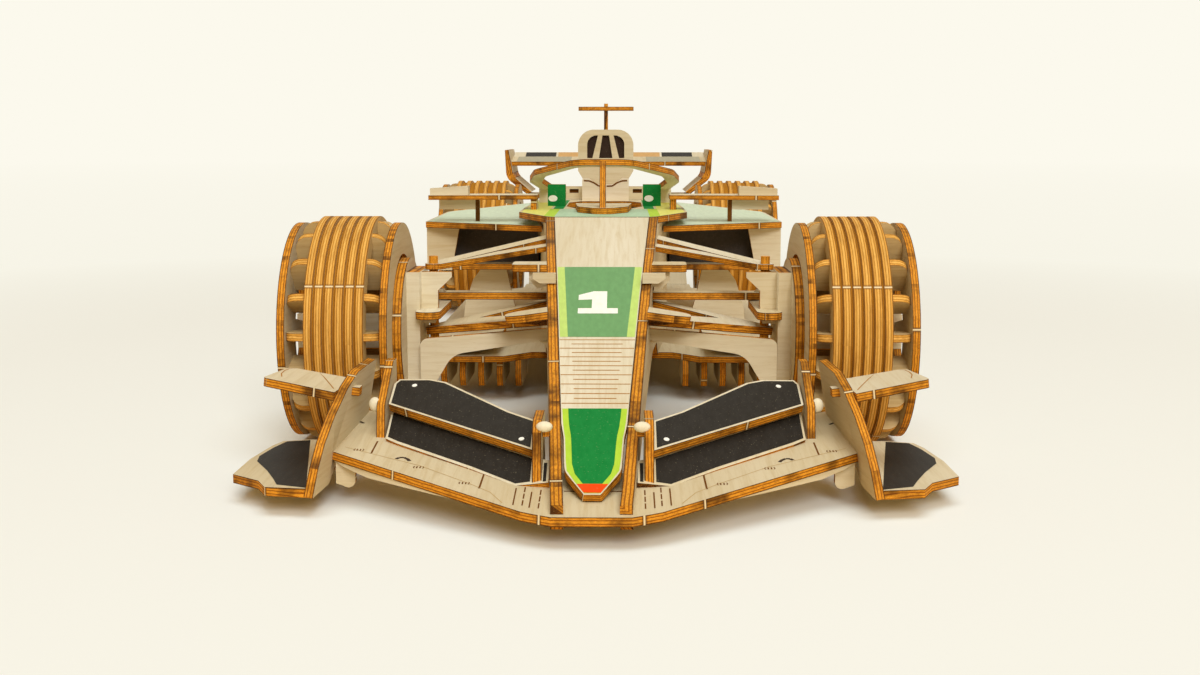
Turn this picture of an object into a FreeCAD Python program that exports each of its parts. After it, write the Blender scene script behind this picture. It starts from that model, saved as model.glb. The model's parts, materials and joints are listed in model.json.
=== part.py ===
import FreeCAD, Part
import math
import os

# Open wheel racing car, cut from plywood sheet and slotted together.
# Millimetres, +Z up. The front of the car faces -Y and its left side is +X.
# Pieces that come in pairs are drawn for the left side and mirrored across X = 0.
# Outlines are drawn in fractions of the spans that they fill, so they follow the sizes below.

V = FreeCAD.Vector

# Sheet stock, dowel and pins
ply = 2.0
thin_ply = 1.5
dowel_r = 2.0
pin_r = 1.0
run_clear = 0.08
board_clear = 0.15
tab_reach = 1.6

# Overall places
front_axle_y = -118.0
rear_axle_y = 172.0
front_overhang = 104.3
rear_overhang = 50.3
floor_z = 12.0
deck_z = 56.5

# Wheels
wheel_r = 30.0
side_ring_r = 28.3
inner_ring_bore_r = 20.0
cover_bore_r = 15.7
tread_bore_r = 25.4
tread_inner_gap = 3.7
tread_outer_gap = 5.0
slat_count = 18
slat_inner_r = 18.4
slat_outer_r = 28.9
slat_start_deg = 3.3
spoke_count = 5
spoke_start_deg = 11.0
spoke_width = 3.2
hub_size = 9.0
hub_gap = 3.0
front_wheel_x = 52.2
front_wheel_width = 27.5
rear_wheel_x = 41.0
rear_wheel_width = 35.4

# Front wing
wing_chord = 67.3
wing_nose_z = 7.0
wing_pitch = 0.0989
wing_rise = 0.0342
wing_bend_x = 12.0
wing_end_x = 58.6
wing_sweep = 35.9
wing_bow = 26.3
endplate_x = 62.3
endplate_toe = -0.0687
endplate_lean = -0.1707
endplate_low_z = 4.5
endplate_height = 23.5
endplate_length = 43.0
endplate_tail_gap = 38.5
footplate_in_x = 60.0
footplate_out_x = 80.6
footplate_length = 49.5
footplate_tail_gap = 31.5
canard_z = 25.0
canard_rise = 0.1
canard_in_x = 55.0
canard_tip_x = 75.5
canard_length = 26.0
canard_tail_gap = 43.0
flap_tip_x = 47.8
upper_flap_in_x = 12.9
lower_flap_in_x = 9.3
upper_flap_z = 15.2
upper_flap_lift = 0.3477
upper_flap_fall = 0.1377
lower_flap_z = 9.4
lower_flap_lift = 0.45
lower_flap_fall = 0.2302
flap_length = 38.0
lower_flap_length = 38.0
lower_flap_lead = 15.8
fence_x = 48.2
fence_height = 15.5
fence_length = 19.0
post_in_x = 10.75
post_top_z = 22.0
post_length = 15.0
skirt_depth = 1.6
strake_low_z = 3.0

# Nose and tub
nose_setback = 7.8
nose_tip_z = 9.4
nose_tip_half = 1.7
nose_shoulder_half = 5.9
nose_half = 8.2
tub_front_y = -62.0
tub_front_half = 17.0
cockpit_start_y = -10.0
tub_half = 21.5
hoop_y = 55.0
hoop_tub_half = 21.0
tub_end_gap = 12.0
tub_tail_half = 13.0
tub_tail_z = 40.0
plate_lip = 0.5
tub_ply = 2.6

# Cockpit
deck_out_x = 27.2
opening_front_y = -13.0
opening_rear_y = 43.0
opening_half = 13.2
cowl_front_y = -45.6
cowl_half = 9.4
halo_front_y = -37.0
halo_length = 77.0
halo_front_z = 73.6
halo_slope = -0.148
halo_half = 26.4
halo_band = 4.2
guard_y = 6.0
guard_height = 7.6
guard_in_x = 13.5
guard_width = 6.3
headrest_gap = 3.0
headrest_height = 8.8
seat_lift = 14.0

# Airbox, engine cover and camera
shoulder_half = 15.3
shoulder_z = 61.6
column_half = 8.8
hoop_half = 10.6
hoop_low_z = 67.5
hoop_top_z = 83.2
inlet_half = 7.1
inlet_low_z = 72.4
inlet_top_z = 81.0
cover_half = 20.0
cover_height = 29.0
cover_end_y = 166.0
cover_end_scale = 0.4
cover_end_z = 50.0
fin_top_z = 78.0
camera_y = 66.0
camera_z = 92.0
camera_half = 10.7

# Sidepods and mirrors
pod_inner_front_y = -40.0
pod_outer_front_y = -18.0
pod_half = 59.5
pod_top_z = 52.5
pod_base_z = 36.0
pod_end_y = 128.0
pod_end_half = 27.0
pod_bend_y = 45.0
pod_bend_r = 30.0
pod_face_width = 11.0
pod_inlet_depth = 7.0
undercut_start = 7.5
undercut_width = 20.5
undercut_setback = 16.0
mirror_z = 61.4
mirror_y = -22.0
mirror_out_x = 58.0
mirror_chord = 16.0
mirror_box_width = 13.0
mirror_box_height = 3.0
mirror_post_x = 42.3

# Floor and diffuser
floor_front_y = -63.0
floor_half = 58.0
floor_end_y = 150.0
floor_throat_half = 37.0
plank_half = 18.0
lip_front_z = 18.2
lip_out_x = 53.5
lip_in_x = 31.5
lip_length = 26.0
fence_count = 5
fence_first_x = 25.9
fence_pitch = 5.75
fence_low_z = 4.0
fence_run = 34.0
diffuser_half = 36.0
diffuser_length = 46.0
diffuser_rise = 0.42
diffuser_fence_low_z = 9.0

# Front suspension and steering
kingpin_x = 44.0
kingpin_r = 1.2
upper_arm_z = 46.0
lower_arm_z = 29.0
arm_width = 5.0
eye_r = 2.2
steer_arm = 15.0
track_rod_z = 36.4
track_rod_width = 5.2
drum_r = 19.0
drum_x = 50.0
upright_x = 46.6
rod_play = 0.55

# Rear structure and rear wing
gearbox_length = 34.0
gearbox_top_z = 44.0
bearing_x = 9.0
hanger_x = 36.0
hanger_size = 16.0
rear_wing_chord = 36.3
rear_wing_half = 49.2
rear_wing_top_z = 74.0
rear_wing_low_z = 53.4
rear_plane_pitch = 0.12
rear_flap_pitch = 0.25
rear_wing_gap = 2.4
beam_chord = 12.0

wing_front_y = front_axle_y - front_overhang
wing_back_y = rear_axle_y + rear_overhang
tub_end_y = rear_axle_y - tub_end_gap
big = 400.0


def lerp(a, b, t):
    return a + (b - a) * t


def fit(points, u_span, v_span):
    """Outline in fractions, stretched over two spans; a third entry is a corner radius."""
    fitted = []
    for point in points:
        u = lerp(u_span[0], u_span[1], point[0])
        v = lerp(v_span[0], v_span[1], point[1])
        fitted.append((u, v) + tuple(point[2:]))
    return fitted


def rounded_edges(points, lift):
    """Edges of a closed outline; a point (u, v, radius) is rounded by that radius."""
    count = len(points)
    corners = []
    for i in range(count):
        u, v = points[i][0], points[i][1]
        radius = points[i][2] if len(points[i]) > 2 else 0.0
        if radius == 0.0:
            corners.append([(u, v)])
            continue
        before = points[i - 1]
        after = points[(i + 1) % count]
        a = V(before[0] - u, before[1] - v, 0)
        b = V(after[0] - u, after[1] - v, 0)
        half_turn = a.getAngle(b) / 2.0
        room = 0.49 * min(a.Length, b.Length) * math.tan(half_turn)
        radius = min(radius, room)
        a.normalize()
        b.normalize()
        reach = radius / math.tan(half_turn)
        start = (u + a.x * reach, v + a.y * reach)
        end = (u + b.x * reach, v + b.y * reach)
        middle = (a + b).normalize()
        depth = radius / math.sin(half_turn) - radius
        top = (u + middle.x * depth, v + middle.y * depth)
        corners.append([start, top, end])
    edges = []
    for i in range(count):
        here = corners[i]
        following = corners[(i + 1) % count]
        if len(here) == 3:
            edges.append(Part.Arc(lift(*here[0]), lift(*here[1]), lift(*here[2])).toShape())
        leave = lift(*here[-1])
        arrive = lift(*following[0])
        if leave.distanceToPoint(arrive) > 1e-6:
            edges.append(Part.LineSegment(leave, arrive).toShape())
    return edges


def board(points, lift, through):
    """Sheet piece: the outline is lifted into space and extruded by a vector."""
    wire = Part.Wire(Part.__sortEdges__(rounded_edges(points, lift)))
    solid = Part.Face(wire).extrude(through)
    if solid.Volume < 0:
        solid.reverse()
    return solid


def flat(points, low_z, thickness=ply):
    """Sheet that lies flat, its outline given as (x, y)."""
    return board(points, lambda u, v: V(u, v, low_z), V(0, 0, thickness))


def upright(points, low_x, thickness=ply):
    """Sheet that stands lengthwise, its outline given as (y, z)."""
    return board(points, lambda u, v: V(low_x, u, v), V(thickness, 0, 0))


def cross(points, low_y, thickness=ply):
    """Sheet that stands across the car, its outline given as (x, z)."""
    return board(points, lambda u, v: V(u, low_y, v), V(0, thickness, 0))


def tilted(points, height, thickness=ply):
    """Sheet whose top face is the plane z = height(x, y), its outline given as (x, y)."""
    slope_x = height(1, 0) - height(0, 0)
    slope_y = height(0, 1) - height(0, 0)
    down = V(slope_x, slope_y, -1).normalize() * thickness
    return board(points, lambda u, v: V(u, v, height(u, v)), down)


def rectangle(u_span, v_span):
    return [(u_span[0], v_span[0]), (u_span[1], v_span[0]), (u_span[1], v_span[1]), (u_span[0], v_span[1])]


def rod_x(x_low, x_high, y, z, radius):
    return Part.makeCylinder(radius, x_high - x_low, V(x_low, y, z), V(1, 0, 0))


def rod_z(x, y, z_low, z_high, radius):
    return Part.makeCylinder(radius, z_high - z_low, V(x, y, z_low), V(0, 0, 1))


def mirrored(shape):
    return shape.mirror(V(0, 0, 0), V(1, 0, 0))


def both(*shapes):
    """The left pieces and their mirror images."""
    group = []
    for shape in shapes:
        group.append(shape)
        group.append(mirrored(shape))
    return group


def symmetric(points):
    """Closed outline from the points of its right half, listed from one end to the other."""
    other = []
    for point in reversed(points):
        if abs(point[0]) > 1e-9:
            other.append((-point[0],) + tuple(point[1:]))
    return list(points) + other


def largest(shape):
    return max(shape.Solids, key=lambda solid: solid.Volume)


def outermost(shape):
    return max(shape.Solids, key=lambda solid: solid.CenterOfMass.x)


def join(*shapes):
    return shapes[0].fuse(list(shapes[1:])).removeSplitter()


def save(name, *shapes):
    """Write the solids of one node."""
    solids = []
    for shape in shapes:
        solids.extend(shape.Solids)
    whole = solids[0] if len(solids) == 1 else Part.makeCompound(solids)
    whole.exportStep("parts/" + name + ".step")


os.makedirs("parts", exist_ok=True)


# Wheels
def make_tyre(inner_x, width):
    """Tread band carried by crosswise slats that span from side ring to side ring."""
    slat_start = inner_x + ply
    slat_end = inner_x + width - ply
    tread_start = slat_start + tread_inner_gap
    tread_width = slat_end - tread_outer_gap - tread_start
    band = Part.makeCylinder(wheel_r, tread_width, V(tread_start, 0, 0), V(1, 0, 0))
    bore = Part.makeCylinder(tread_bore_r, tread_width, V(tread_start, 0, 0), V(1, 0, 0))
    outline = rectangle((slat_start, slat_end), (slat_inner_r, slat_outer_r))
    slat = board(outline, lambda u, v: V(u, -v, -ply / 2), V(0, 0, ply))
    slats = []
    for i in range(slat_count):
        copy = slat.copy()
        copy.rotate(V(0, 0, 0), V(1, 0, 0), -slat_start_deg - i * 360.0 / slat_count)
        slats.append(copy)
    return join(band.cut(bore), *slats)


def make_rim(inner_x, width, axle_radius):
    """Spoked outer cover on its hub stack, and the plain inner ring."""
    cover_x = inner_x + width - ply
    cover = Part.makeCylinder(side_ring_r, ply, V(cover_x, 0, 0), V(1, 0, 0))
    window = Part.makeCylinder(cover_bore_r, ply, V(cover_x, 0, 0), V(1, 0, 0))
    spokes = []
    for i in range(spoke_count):
        spoke = cross([(-spoke_width / 2, 0), (spoke_width / 2, 0), (spoke_width / 2, cover_bore_r + ply),
                       (-spoke_width / 2, cover_bore_r + ply)], 0, ply)
        spoke.rotate(V(0, 0, 0), V(0, 0, 1), -90)
        spoke.translate(V(cover_x, 0, 0))
        spoke.rotate(V(0, 0, 0), V(1, 0, 0), 90 - spoke_start_deg - i * 360.0 / spoke_count)
        spokes.append(spoke)
    hub_start = inner_x + ply + hub_gap
    hub_outline = rectangle((-hub_size / 2, hub_size / 2), (-hub_size / 2, hub_size / 2))
    hub = upright(hub_outline, hub_start, cover_x + ply - hub_start)
    wheel_cover = join(cover.cut(window), hub, *spokes)
    wheel_cover = wheel_cover.cut(rod_x(inner_x, inner_x + width, 0, 0, axle_radius))
    ring = Part.makeCylinder(side_ring_r, ply, V(inner_x, 0, 0), V(1, 0, 0))
    ring = ring.cut(Part.makeCylinder(inner_ring_bore_r, ply, V(inner_x, 0, 0), V(1, 0, 0)))
    return [wheel_cover, ring]


def on_axle(shapes, axle_y):
    for shape in shapes:
        shape.translate(V(0, axle_y, wheel_r))
    return shapes


front_tyre = on_axle([make_tyre(front_wheel_x, front_wheel_width)], front_axle_y)
front_rim = on_axle(make_rim(front_wheel_x, front_wheel_width, dowel_r + run_clear), front_axle_y)
rear_tyre = on_axle([make_tyre(rear_wheel_x, rear_wheel_width)], rear_axle_y)
rear_rim = on_axle(make_rim(rear_wheel_x, rear_wheel_width, dowel_r), rear_axle_y)
for name, shapes in (("front_tyre", front_tyre), ("front_rim", front_rim),
                     ("rear_tyre", rear_tyre), ("rear_rim", rear_rim)):
    save(name + "_left", *shapes)
    save(name + "_right", *[mirrored(shape) for shape in shapes])

rear_axle_end = rear_wheel_x + rear_wheel_width
save("rear_axle", rod_x(-rear_axle_end, rear_axle_end, rear_axle_y, wheel_r, dowel_r))

# Nose line, shared by the top board and the upper edges of the tub sides
nose_tip_y = wing_front_y + nose_setback
nose_rise = deck_z - nose_tip_z
nose_line = fit([(0, 0), (0.207, 0.251), (0.423, 0.479), (0.718, 0.766), (1, 1)],
                (nose_tip_y, tub_front_y), (nose_tip_z, deck_z))


def nose_height(y):
    """Height of the nose line at y."""
    for (y0, z0), (y1, z1) in zip(nose_line, nose_line[1:]):
        if y <= y1:
            return lerp(z0, z1, (y - y0) / (y1 - y0))
    return deck_z


# Tub sides: plan path of the outer face, from the wing to the rear of the tub
side_start_y = wing_front_y + thin_ply
tub_path = [(side_start_y, nose_half), (tub_front_y, tub_front_half), (cockpit_start_y, tub_half),
            (hoop_y, hoop_tub_half), (tub_end_y, tub_tail_half)]
axle_tub_half = lerp(nose_half, tub_front_half, (front_axle_y - side_start_y) / (tub_front_y - side_start_y))


def plan_band(outset, thickness):
    """Tall upright band along the tub path, its outer face set out by outset."""
    outer = [(x + outset, y) for y, x in tub_path]
    inner = [(x + outset - thickness, y) for y, x in reversed(tub_path)]
    return flat(outer + inner, 0, big)


def inside_tub(clearance):
    """Space between the tub sides, less a clearance."""
    left = plan_band(-tub_ply - clearance, 2 * tub_half)
    return left.common(mirrored(left))


def wing_height(x, y):
    """Top face of the front wing's outer panel."""
    return wing_nose_z + wing_rise * (x - wing_bend_x) + wing_pitch * (y - wing_front_y - thin_ply)


def wing_middle_height(x, y):
    """Top face of the front wing between its bends."""
    return wing_height(wing_bend_x, y)


side_top = [(side_start_y, nose_tip_z + plate_lip - 1.0)]
for y, z in nose_line[:-1]:
    side_top.append((y + 2.0, z + plate_lip + 0.6))
side_top.append((tub_front_y, deck_z))
belly_z = floor_z + ply
nose_reach = tub_front_y - side_start_y
side_low = [(tub_front_y, deck_z - ply), (hoop_y, deck_z - ply), (tub_end_y, tub_tail_z), (tub_end_y, belly_z),
            (tub_front_y + 4.0, belly_z), (tub_front_y - 4.0, belly_z + 5.0),
            (lerp(side_start_y, tub_front_y, 0.73), belly_z + 8.0),
            (lerp(side_start_y, tub_front_y, 0.45), belly_z + 3.0),
            (side_start_y + 29.0, wing_middle_height(0, side_start_y + 29.0)),
            (side_start_y + 11.0, wing_middle_height(0, side_start_y + 11.0)),
            (side_start_y + 11.0, wing_middle_height(0, side_start_y) - ply - tab_reach),
            (side_start_y + 2.0, wing_middle_height(0, side_start_y) - ply - tab_reach),
            (side_start_y + 2.0, wing_middle_height(0, side_start_y + 2.0)),
            (side_start_y, wing_middle_height(0, side_start_y))]
rod_slot_y = front_axle_y + steer_arm
rod_window = upright(rectangle((rod_slot_y - track_rod_width, rod_slot_y + track_rod_width),
                               (track_rod_z - 1.5, track_rod_z + ply + 1.5)), 0, tub_half + ply)
tub_side = plan_band(0, tub_ply).common(upright(side_top + side_low, 0, tub_half + ply)).cut(rod_window)


# Nose top board: bent along the nose line between the tub sides, with a rounded tip
def nose_strip():
    back = thin_ply * nose_rise / (tub_front_y - nose_tip_y)
    under = [(y + back, z - thin_ply) for y, z in reversed(nose_line)]
    return upright(nose_line + under, -tub_half, 2 * tub_half)


nose_plan = symmetric([(nose_tip_half, nose_tip_y), (nose_shoulder_half, nose_tip_y + 8.0, 7.0),
                       (nose_shoulder_half + 0.6, nose_tip_y + 20.0), (tub_half, tub_front_y - 20.0),
                       (tub_half, tub_front_y)])
nose_board = nose_strip().common(flat(nose_plan, 0, big)).common(inside_tub(board_clear))
save("nose_top", nose_board)


# Bulkheads stand across the tub between its sides
def bulkhead(y, low_z, high_z):
    span = (-tub_half, tub_half)
    return cross(rectangle(span, (low_z, high_z)), y).common(inside_tub(0))


def nose_bulkhead(t):
    """Bulkhead under the nose board, a fraction t of the way back."""
    y = lerp(nose_tip_y, tub_front_y, t)
    return bulkhead(y, lerp(belly_z, belly_z + 8.0, t), nose_height(y) - thin_ply - 0.2)


seat_front_y = opening_front_y - 11.0
seat_rear_y = opening_rear_y + ply
save("tub_bulkheads", nose_bulkhead(0.28), nose_bulkhead(0.52),
     bulkhead(tub_front_y - 2.0, belly_z + 5.5, deck_z - ply - 2.0),
     bulkhead(seat_front_y - ply, belly_z, deck_z - ply),
     bulkhead(seat_rear_y, belly_z, deck_z - ply),
     bulkhead(lerp(hoop_y, tub_end_y, 0.62), belly_z, lerp(deck_z - ply, tub_tail_z, 0.62) - ply))

# Cockpit deck with its opening
deck_end_y = hoop_y - 0.5
deck_span = (tub_front_y + 2.0, deck_end_y)
deck_half = [(0.55, 0), (0.62, 0.02), (1, 0.24), (1, 0.53), (0.94, 1)]
deck = flat(symmetric(fit(deck_half, (0, deck_out_x), deck_span)), deck_z - ply)
opening_span = (opening_front_y, opening_rear_y)
opening_outline = [(0.64, 0, 4), (1, 0.3, 8), (1, 0.82, 6), (0.68, 1, 3)]
opening = flat(symmetric(fit(opening_outline, (0, opening_half), opening_span)), deck_z - 2 * ply, 3 * ply)
save("cockpit_deck", deck.cut(opening))

# Seat: floor pan, reclined back, and the headrest board on the deck behind the opening
pan_z = belly_z + seat_lift
back_rise = deck_z - ply - pan_z
back_outline = fit([(0.1, 0.05), (0.9, 0.05), (1, 0.6, 3), (0.82, 1, 3), (0.18, 1, 3), (0, 0.6, 3)],
                   (-opening_half * 0.83, opening_half * 0.83), (pan_z, deck_z - ply))
back_lean = 0.45
back_foot_y = opening_rear_y - back_lean * back_rise - 5.0
seat_back = board(back_outline, lambda u, v: V(u, back_foot_y + (v - pan_z) * back_lean, v), V(0, ply, 0))
seat_pan = flat(rectangle((-opening_half * 0.76, opening_half * 0.76), (seat_front_y, seat_rear_y)), pan_z)
headrest_y = opening_rear_y + headrest_gap
headrest = cross(symmetric(fit([(1, 0), (1, 1, 1.5), (0.72, 1), (0.37, 0.72)], (0, column_half),
                               (deck_z, deck_z + headrest_height))), headrest_y)
save("seat", seat_pan.cut(seat_back), seat_back, headrest)

# Cowl on the deck in front of the opening
cowl_outline = fit([(0.28, 0, 2.5), (0.86, 0.3, 8), (1, 1)], (0, cowl_half),
                   (cowl_front_y, opening_front_y - 1.0))
save("dash_cowl", flat(symmetric(cowl_outline), deck_z))


# Halo hoop with its feet, and the pillar in front
def halo_height(x, y):
    return halo_front_z + halo_slope * (y - halo_front_y)


halo_rear_y = halo_front_y + halo_length
halo_span = (halo_front_y, halo_rear_y)
hoop_outline = symmetric(fit([(0.34, 0, 9), (0.89, 0.34, 18), (1, 0.6, 20), (0.86, 1)],
                             (0, halo_half), halo_span))
loop_span = (halo_front_y + halo_band, halo_rear_y + ply)
loop_outline = symmetric(fit([(0.34, 0, 7), (0.89, 0.34, 16), (1, 0.6, 18), (0.84, 1)],
                             (0, halo_half - halo_band), loop_span))
halo_loop = tilted(loop_outline, lambda x, y: halo_height(x, y) + ply, 3 * ply)
halo_hoop = tilted(hoop_outline, halo_height).cut(halo_loop)
foot_y = halo_rear_y - 8.0
foot_outline = rectangle((halo_half * 0.76, halo_half * 0.92), (deck_z, halo_height(0, foot_y) - ply / 2))
halo_foot = cross(foot_outline, foot_y)
halo = join(halo_hoop, halo_foot, mirrored(halo_foot))
save("halo", halo)
pillar_span = (cowl_front_y + 1.5, halo_front_y + halo_band)
pillar_rise = (deck_z + ply, halo_height(0, halo_front_y + halo_band))
pillar = upright(fit([(0, 0), (0.62, 0), (1, 1), (0.62, 1)], pillar_span, pillar_rise), -ply / 2)
save("halo_pillar", largest(pillar.cut(halo)))

# Head guards beside the opening, each a cross board on a lengthwise foot
guard_top_z = deck_z + guard_height
guard = cross(rectangle((guard_in_x, guard_in_x + guard_width), (deck_z, guard_top_z)), guard_y)
guard_foot = upright(fit([(0, 0), (1, 0), (1, 0.6), (0, 0.92)], (guard_y + ply, guard_y + 20.0),
                         (deck_z, guard_top_z)), guard_in_x + 2.0)
save("head_guards", *both(guard, guard_foot))

# Roll hoop board: shoulders, headrest column and the airbox inlet with its two struts
hoop_board = cross(symmetric([(shoulder_half, deck_z), (shoulder_half, shoulder_z), (column_half, shoulder_z),
                              (column_half, hoop_low_z - 3.0), (hoop_half, hoop_low_z),
                              (hoop_half, hoop_top_z, 6)]), hoop_y)
inlet = cross(symmetric([(inlet_half, inlet_low_z), (inlet_half, inlet_top_z, 3.5)]), hoop_y - ply, 3 * ply)
slot_outline = fit([(0, 0), (1, 0), (1, 1), (0, 1)], (column_half + 1.6, shoulder_half - 1.4),
                   (deck_z + 2.6, shoulder_z - 1.0))
shoulder_slot = cross(slot_outline, hoop_y - ply, 3 * ply)
hoop_board = hoop_board.cut(inlet).cut(shoulder_slot).cut(mirrored(shoulder_slot))
strut = cross(fit([(0.36, 0), (0.72, 0), (0.42, 1), (0.18, 1)], (0, inlet_half),
                  (inlet_low_z, inlet_top_z)), hoop_y)
save("roll_hoop", join(hoop_board, strut, mirrored(strut)))

# Engine cover: a bent skin of flat panels from the roll hoop to the tail
cover_outline = [(1, 0), (0.43, 0.24), (0.43, 0.66), (0.32, 0.92), (0.15, 1)]


def set_in(points, inset):
    """Closed outline moved inwards by the inset; its last edge stays on its own line."""
    count = len(points)
    lines = []
    for i in range(count):
        start, end = points[i], points[(i + 1) % count]
        along = V(end[0] - start[0], end[1] - start[1], 0).normalize()
        inward = V(-along.y, along.x, 0)
        shift = inset if i < count - 1 else 0.0
        lines.append((inward, inward.x * start[0] + inward.y * start[1] + shift))
    moved = []
    for i in range(count):
        before, before_place = lines[i - 1]
        after, after_place = lines[i]
        turn = before.x * after.y - before.y * after.x
        moved.append(((before_place * after.y - after_place * before.y) / turn,
                      (before.x * after_place - after.x * before_place) / turn))
    return moved


def cover_section(y, scale, top_z, inset):
    """Section of the cover; all sections have one shape, so the panels between them stay flat."""
    half = cover_half * scale
    outline = symmetric(fit(cover_outline, (0, half), (top_z - cover_height * scale, top_z)))
    return [V(u, y, v) for u, v in set_in(outline, inset)]


def panelled(sections):
    """Solid with a flat panel between each side of one section and the same side of the next."""
    faces = []
    for section in (sections[0], sections[-1]):
        faces.append(Part.Face(Part.makePolygon(section + section[:1])))
    for near, far in zip(sections, sections[1:]):
        for i in range(len(near)):
            j = (i + 1) % len(near)
            faces.append(Part.Face(Part.makePolygon([near[i], near[j], far[j], far[i], near[i]])))
    solid = Part.makeSolid(Part.makeShell(faces))
    if solid.Volume < 0:
        solid.reverse()
    return solid


def cover_skin(inset):
    """Cover set in by the inset, from the roll hoop to the tail."""
    start_y = hoop_y + ply
    middle_y = lerp(start_y, cover_end_y, 0.57)
    return panelled([cover_section(start_y, 1.0, hoop_top_z - 1.5, inset),
                     cover_section(middle_y, 0.75, lerp(hoop_top_z, cover_end_z, 0.52), inset),
                     cover_section(cover_end_y, cover_end_scale, cover_end_z, inset)])


cover_form = cover_skin(0)
save("engine_cover", cover_form.cut(cover_skin(thin_ply)))

# Fin along the top of the cover
fin_outline = fit([(0, 0.72), (0.11, 1, 3), (0.89, 0.82, 4), (1, 0.24), (0.93, 0), (0.06, 0.3)],
                  (lerp(hoop_y, cover_end_y, 0.36), cover_end_y + 3.0), (cover_end_z - 6.0, fin_top_z))
save("engine_fin", largest(upright(fin_outline, -ply / 2).cut(cover_form)))

# Camera bar on its mast
mast_outline = fit([(0, 0), (1, 0), (0.75, 0.87), (0.75, 1), (0.25, 1), (0.25, 0.87)],
                   (camera_y - 3.0, camera_y + 5.0), (hoop_top_z - 4.0, camera_z + 1.2))
mast = outermost(upright(mast_outline, -thin_ply / 2, thin_ply).cut(cover_form))
bar_outline = symmetric([(camera_half, camera_y - 2.0, 2), (camera_half, camera_y + 4.0, 2)])
save("camera", join(mast, flat(bar_outline, camera_z - thin_ply, thin_ply)))

# Sidepods: top and base boards, outer wall with the front face, and the dark inlet panel
pod_wall_z = pod_base_z + ply
pod_under_z = pod_top_z - ply
pod_plan = [(tub_front_half + 2.4, pod_inner_front_y), (pod_half, pod_outer_front_y),
            (pod_half, pod_bend_y, pod_bend_r), (pod_end_half, pod_end_y),
            (tub_tail_half + 4.0, pod_end_y), (hoop_tub_half + 0.6, hoop_y),
            (tub_half + 0.4, cockpit_start_y)]
save("sidepod_tops", *both(flat(pod_plan, pod_under_z)))
face_y = pod_outer_front_y + ply
base_plan = [(tub_half + 0.6, face_y + ply), (pod_half - 4.0, face_y + ply),
             (pod_half - 4.0, pod_bend_y, pod_bend_r), (pod_end_half - 3.0, pod_end_y - 4.0),
             (tub_tail_half + 5.0, pod_end_y - 4.0),
             (hoop_tub_half + 0.6, hoop_y), (tub_half + 0.6, cockpit_start_y)]
save("sidepod_bases", *both(flat(base_plan, pod_base_z)))
face_outline = fit([(0, 1), (1, 1), (1, 0), (0.25, 0)], (pod_half - pod_face_width, pod_half),
                   (pod_base_z, pod_under_z))
pod_face = cross(face_outline, face_y)
wall_out = [(pod_half - 4.0, face_y + ply), (pod_half - 4.0, pod_bend_y, pod_bend_r),
            (pod_end_half - 3.2, pod_end_y - 5.0)]
wall_in = [(pod_end_half - 3.2 - ply, pod_end_y - 5.0), (pod_half - 4.0 - ply, pod_bend_y, pod_bend_r - ply),
           (pod_half - 4.0 - ply, face_y + ply)]
pod_wall = flat(wall_out + wall_in, pod_wall_z, pod_under_z - pod_wall_z)
save("sidepod_walls", *both(join(pod_wall, pod_face)))
panel_span = (tub_half + 1.0, pod_half - 4.0 - ply)
pod_panel = cross(rectangle(panel_span, (pod_wall_z, pod_under_z)), face_y + ply + pod_inlet_depth)
save("sidepod_radiators", *both(pod_panel))
undercut_span = (tub_half + undercut_start, tub_half + undercut_start + undercut_width)
undercut_outline = fit([(0, 0), (0.13, 0.45), (0.26, 1), (0.64, 1), (0.82, 0.78, 4), (0.96, 0.36), (1, 0)],
                       undercut_span, (belly_z, pod_base_z))
save("sidepod_undercuts", *both(cross(undercut_outline, face_y + undercut_setback)))

# Mirrors: wing board with its post and root, a box above and a smaller one below
mirror_in_x = tub_half + 0.6
mirror_low_z = mirror_z - thin_ply
mirror_plan = fit([(0, 0.18), (1, 0), (1, 0.9, 2), (0, 1)], (mirror_in_x, mirror_out_x),
                  (mirror_y, mirror_y + mirror_chord))
mirror_post = cross(rectangle((mirror_post_x - 0.7, mirror_post_x + 0.7), (pod_top_z, mirror_low_z)),
                    mirror_y + 6.0, thin_ply)
mirror_root = upright(rectangle((mirror_y + 4.0, mirror_y + 14.0), (deck_z, mirror_low_z)), mirror_in_x + 0.2)
save("mirror_wings", *both(join(flat(mirror_plan, mirror_low_z, thin_ply), mirror_post, mirror_root)))
box_y = (mirror_y + 2.0, mirror_y + 7.0)
box_x = (mirror_out_x - mirror_box_width, mirror_out_x - 0.3)
upper_box = cross([(box_x[0], mirror_z), (box_x[1], mirror_z), (box_x[1], mirror_z + mirror_box_height - 0.8),
                   (box_x[0], mirror_z + mirror_box_height)], box_y[0], box_y[1] - box_y[0])
lower_box = cross(rectangle((mirror_post_x + 0.7, box_x[1] - 2.5), (mirror_low_z - 3.4, mirror_low_z)),
                  mirror_y + 6.0, 4.0)
save("mirror_housings", *both(upper_box, lower_box))

# Floor, plank and the fences at its front
floor_outline = fit([(0.38, 0.04), (0.52, 0), (0.86, 0, 6), (0.97, 0.15), (1, 0.39), (1, 0.85, 10),
                     (floor_throat_half / floor_half, 0.925, 5), (floor_throat_half / floor_half, 1)],
                    (0, floor_half), (floor_front_y, floor_end_y))
save("floor", flat(symmetric(floor_outline), floor_z))
plank_outline = fit([(0.45, 0), (1, 0.11), (1, 1)], (0, plank_half), (floor_front_y + 8.0, floor_end_y - 4.0))
save("plank", flat(symmetric(plank_outline), floor_z - ply))
floor_fences = []
for i in range(fence_count):
    x = fence_first_x + i * fence_pitch
    fence_outline = fit([(0.06, 0), (0, 0.5), (0.04, 1), (1, 1), (0.78, 0)],
                        (floor_front_y + 2.6, floor_front_y + 2.6 + fence_run), (fence_low_z, floor_z))
    floor_fences.append(upright(fence_outline, x - ply / 2))
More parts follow.
